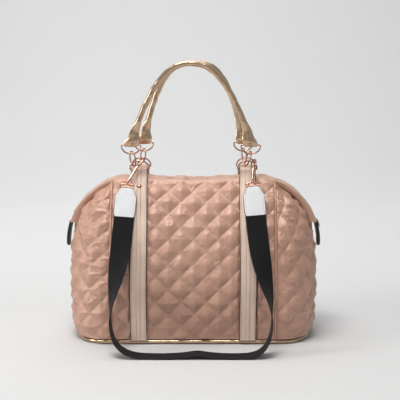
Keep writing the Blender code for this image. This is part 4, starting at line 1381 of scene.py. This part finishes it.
def build_clasp(name, end, foot, catch):
    """White tab, swivel base, trigger hook and gate at one end of the strap."""
    rise = unit(end - foot)
    crown = end + rise * (0.0003 + TAB_LONG)
    across = unit(np.array([1.0, 0, 0]) - rise * rise[0])
    out = unit(np.cross(across, rise))
    made = build_strap_tab(name, crown, rise, across, out)
    loop = [(-0.0112, 0.0020), (-0.0056, 0.0019), (0.0, 0.0019), (0.0056, 0.0019),
            (0.0112, 0.0020), (0.0126, 0.0038), (0.0112, 0.0056), (0.0076, 0.0068),
            (0.0040, 0.0075), (0.0, 0.0080), (-0.0040, 0.0075), (-0.0076, 0.0068),
            (-0.0112, 0.0056), (-0.0126, 0.0038)]
    path = [crown + across * a + rise * b for a, b in loop]
    path = even_route(np.array(path + path[:1]), 0.0009)[:-1]
    base = [wire(name + "_loop", path, 0.0013, METAL, closed=True)]
    barrel = [crown + rise * b for b in (0.0066, 0.0072, 0.0080, 0.0092, 0.0098, 0.0101)]
    base.append(wire(name + "_barrel", barrel, [0.0012, 0.0026, 0.0030, 0.0030, 0.0027,
                                                0.0014], METAL))
    base = joined(name + "_swivel_loop", base)
    assign(base, "shoulder_strap", name + "_swivel_base")
    made.append(base)
    neck = crown + rise * HOOK_FOOT
    up = unit(catch - neck)
    long = float(np.linalg.norm(catch - neck))
    swing = np.array([math.cos(HOOK_TURN), math.sin(HOOK_TURN), 0.0])
    swing = unit(swing - up * (swing @ up))
    low, high, half = long - 0.0120, long + 0.0046, 0.0060

    def at(a, b):
        return neck + swing * a + up * b

    path = [at(0, 0), at(0, 0.0012), at(0, 0.0025), at(0, 0.0040), at(0, 0.0050),
            at(0.0012, low - 0.0040), at(0.0040, low - 0.0014),
            at(EYE_SHIFT + half, low + 0.0018), at(EYE_SHIFT + half, low + 0.0060)]
    radii = [0.0022, 0.0030, 0.0031, 0.0028, 0.0021, 0.0030, 0.0026, 0.0020, 0.0018]
    for i in range(15):
        angle = math.pi * i / 14
        path.append(at(EYE_SHIFT + half * math.cos(angle),
                       high - half + half * math.sin(angle)))
        radii.append(0.0018 - 0.0003 * i / 14)
    tip = path[-1]
    fine = even_route(np.array(path), 0.0008)
    place = lengths_along(np.array(path))
    spread = np.interp(np.linspace(0, place[-1], len(fine)), place, radii)
    hook = wire(name + "_trigger_hook", fine, spread, METAL)
    assign(hook, name + "_hook", name + "_hook")
    gate_top, gate_foot = tip - up * 0.0009, at(-0.0034, low - 0.0018)
    shares = np.linspace(0, 1, 15)[:, None]
    line = gate_top * (1 - shares) + gate_foot * shares
    size = np.interp(shares[:, 0], (0, 0.06, 0.5, 0.82, 0.9, 1.0),
                     (0.0009, 0.0012, 0.0011, 0.0012, 0.0013, 0.0010))
    gate = [wire(name + "_bar", line, size, METAL)]
    thumb = gate_top * 0.30 + gate_foot * 0.70
    gate.append(wire(name + "_thumb", [thumb - swing * 0.0006, thumb - swing * 0.0020,
                                       thumb - swing * 0.0032, thumb - swing * 0.0038],
                     [0.0008, 0.0008, 0.0012, 0.0006], METAL, sides=12))
    gate = joined(name + "_gate_lever", gate)
    assign(gate, name + "_gate", name + "_gate")
    return made + [hook, gate]


def build_shoulder_strap():
    web, route = build_webbing()
    left = np.array([-STRAP_X + 0.0020, -HARDWARE_Y, RING_BAR_Z + bow_height(0.0020)])
    right = np.array([STRAP_X + 0.0105, -HARDWARE_Y, RING_BAR_Z + bow_height(0.0105)])
    coarse = even_route(WEB_ROUTE, 0.0125)
    pieces = build_clasp("left", coarse[0], coarse[1], left)
    pieces += build_clasp("right", coarse[-1], coarse[-2], right)


build_handles()
build_shoulder_strap()
build_gussets()
build_zip_ends()
build_wing_flap()
build_slider()
build_base()
build_lining()
build_hardware()


# ---- stage, light and camera -------------------------------------------------------
def build_stage():
    """Pale seamless sweep: floor, a round corner far behind, and a wall; painted light
    makes the near floor darker and the wall lighter.
    """
    profile = [(-9.0, 0.0), (1.6, 0.0)]
    for i in range(1, 13):
        angle = math.pi / 2 * i / 12
        profile.append((1.6 + 1.2 * math.sin(angle), 1.2 - 1.2 * math.cos(angle)))
    profile.append((2.8, 4.5))
    points = [(x, y, z) for y, z in profile for x in (-9.0, 9.0)]
    faces = [(2 * i, 2 * i + 1, 2 * i + 3, 2 * i + 2) for i in range(len(profile) - 1)]
    look = Look("studio_paper", 0.85, 0.0)
    spot = look.place()
    back, up = look.split(spot)[1:3]
    # painted light: the paper's colour is darker on the near floor and lighter further back
    # and up the wall
    away = look.math("SUBTRACT", look.math("MULTIPLY", back, 0.5), 0.1)
    rise = look.math("ADD", away, look.math("MULTIPLY", up, 0.6))
    paper_with_painted_light = look.ramp(rise, ((0.0, (0.62, 0.62, 0.62)), (0.70, (0.86, 0.86, 0.86)),
                             (1.0, (0.82, 0.82, 0.82))))
    look.colour(look.mix(look.noise(spot, 2.2, 3.0), paper_with_painted_light, (0.97, 0.97, 0.97), "MULTIPLY"))
    sweep = make_object("studio_sweep", points, faces, look.material)


def area_light(name, place, aim, size, power, colour=(1.0, 1.0, 1.0)):
    data = bpy.data.lights.new(name, "AREA")
    data.shape = "RECTANGLE"
    data.size, data.size_y = size
    data.energy = power
    data.color = colour
    lamp = bpy.data.objects.new(name, data)
    lamp.location = place
    lamp.rotation_euler = (Vector(aim) - Vector(place)).to_track_quat("-Z", "Y").to_euler()
    bpy.context.scene.collection.objects.link(lamp)


def build_light():
    area_light("key", (-0.30, -0.95, 2.35), (0, 0, 0.16), (1.1, 0.6), 40,
               (1.0, 0.985, 0.96))
    area_light("top", (-0.2, 0.7, 2.6), (0, 0.1, 0.1), (2.4, 1.4), 24)
    area_light("side", (-2.3, -0.9, 0.9), (0, 0, 0.2), (0.5, 1.5), 25, (1.0, 0.99, 0.97))
    area_light("backdrop", (-0.7, 0.5, 1.9), (-0.5, 2.8, 0.9), (1.8, 0.8), 6)
    area_light("fill", (2.4, -1.8, 1.0), (0, 0, 0.2), (1.0, 1.6), 1, (0.96, 0.98, 1.0))
    world = bpy.data.worlds.new("studio_air")
    world.use_nodes = True
    world.node_tree.nodes["Background"].inputs[0].default_value = (0.80, 0.82, 0.85, 1)
    world.node_tree.nodes["Background"].inputs[1].default_value = 0.385
    bpy.context.scene.world = world


def build_camera():
    data = bpy.data.cameras.new("camera")
    data.sensor_width = 36.0
    data.lens = 93.0
    camera = bpy.data.objects.new("camera", data)
    camera.location = (0.012, -1.90, 0.51)
    camera.rotation_euler = (math.radians(90 - 7.8), 0, 0)
    bpy.context.scene.collection.objects.link(camera)
    bpy.context.scene.camera = camera


build_stage()
build_light()
build_camera()
bpy.context.scene.view_settings.view_transform = "Standard"
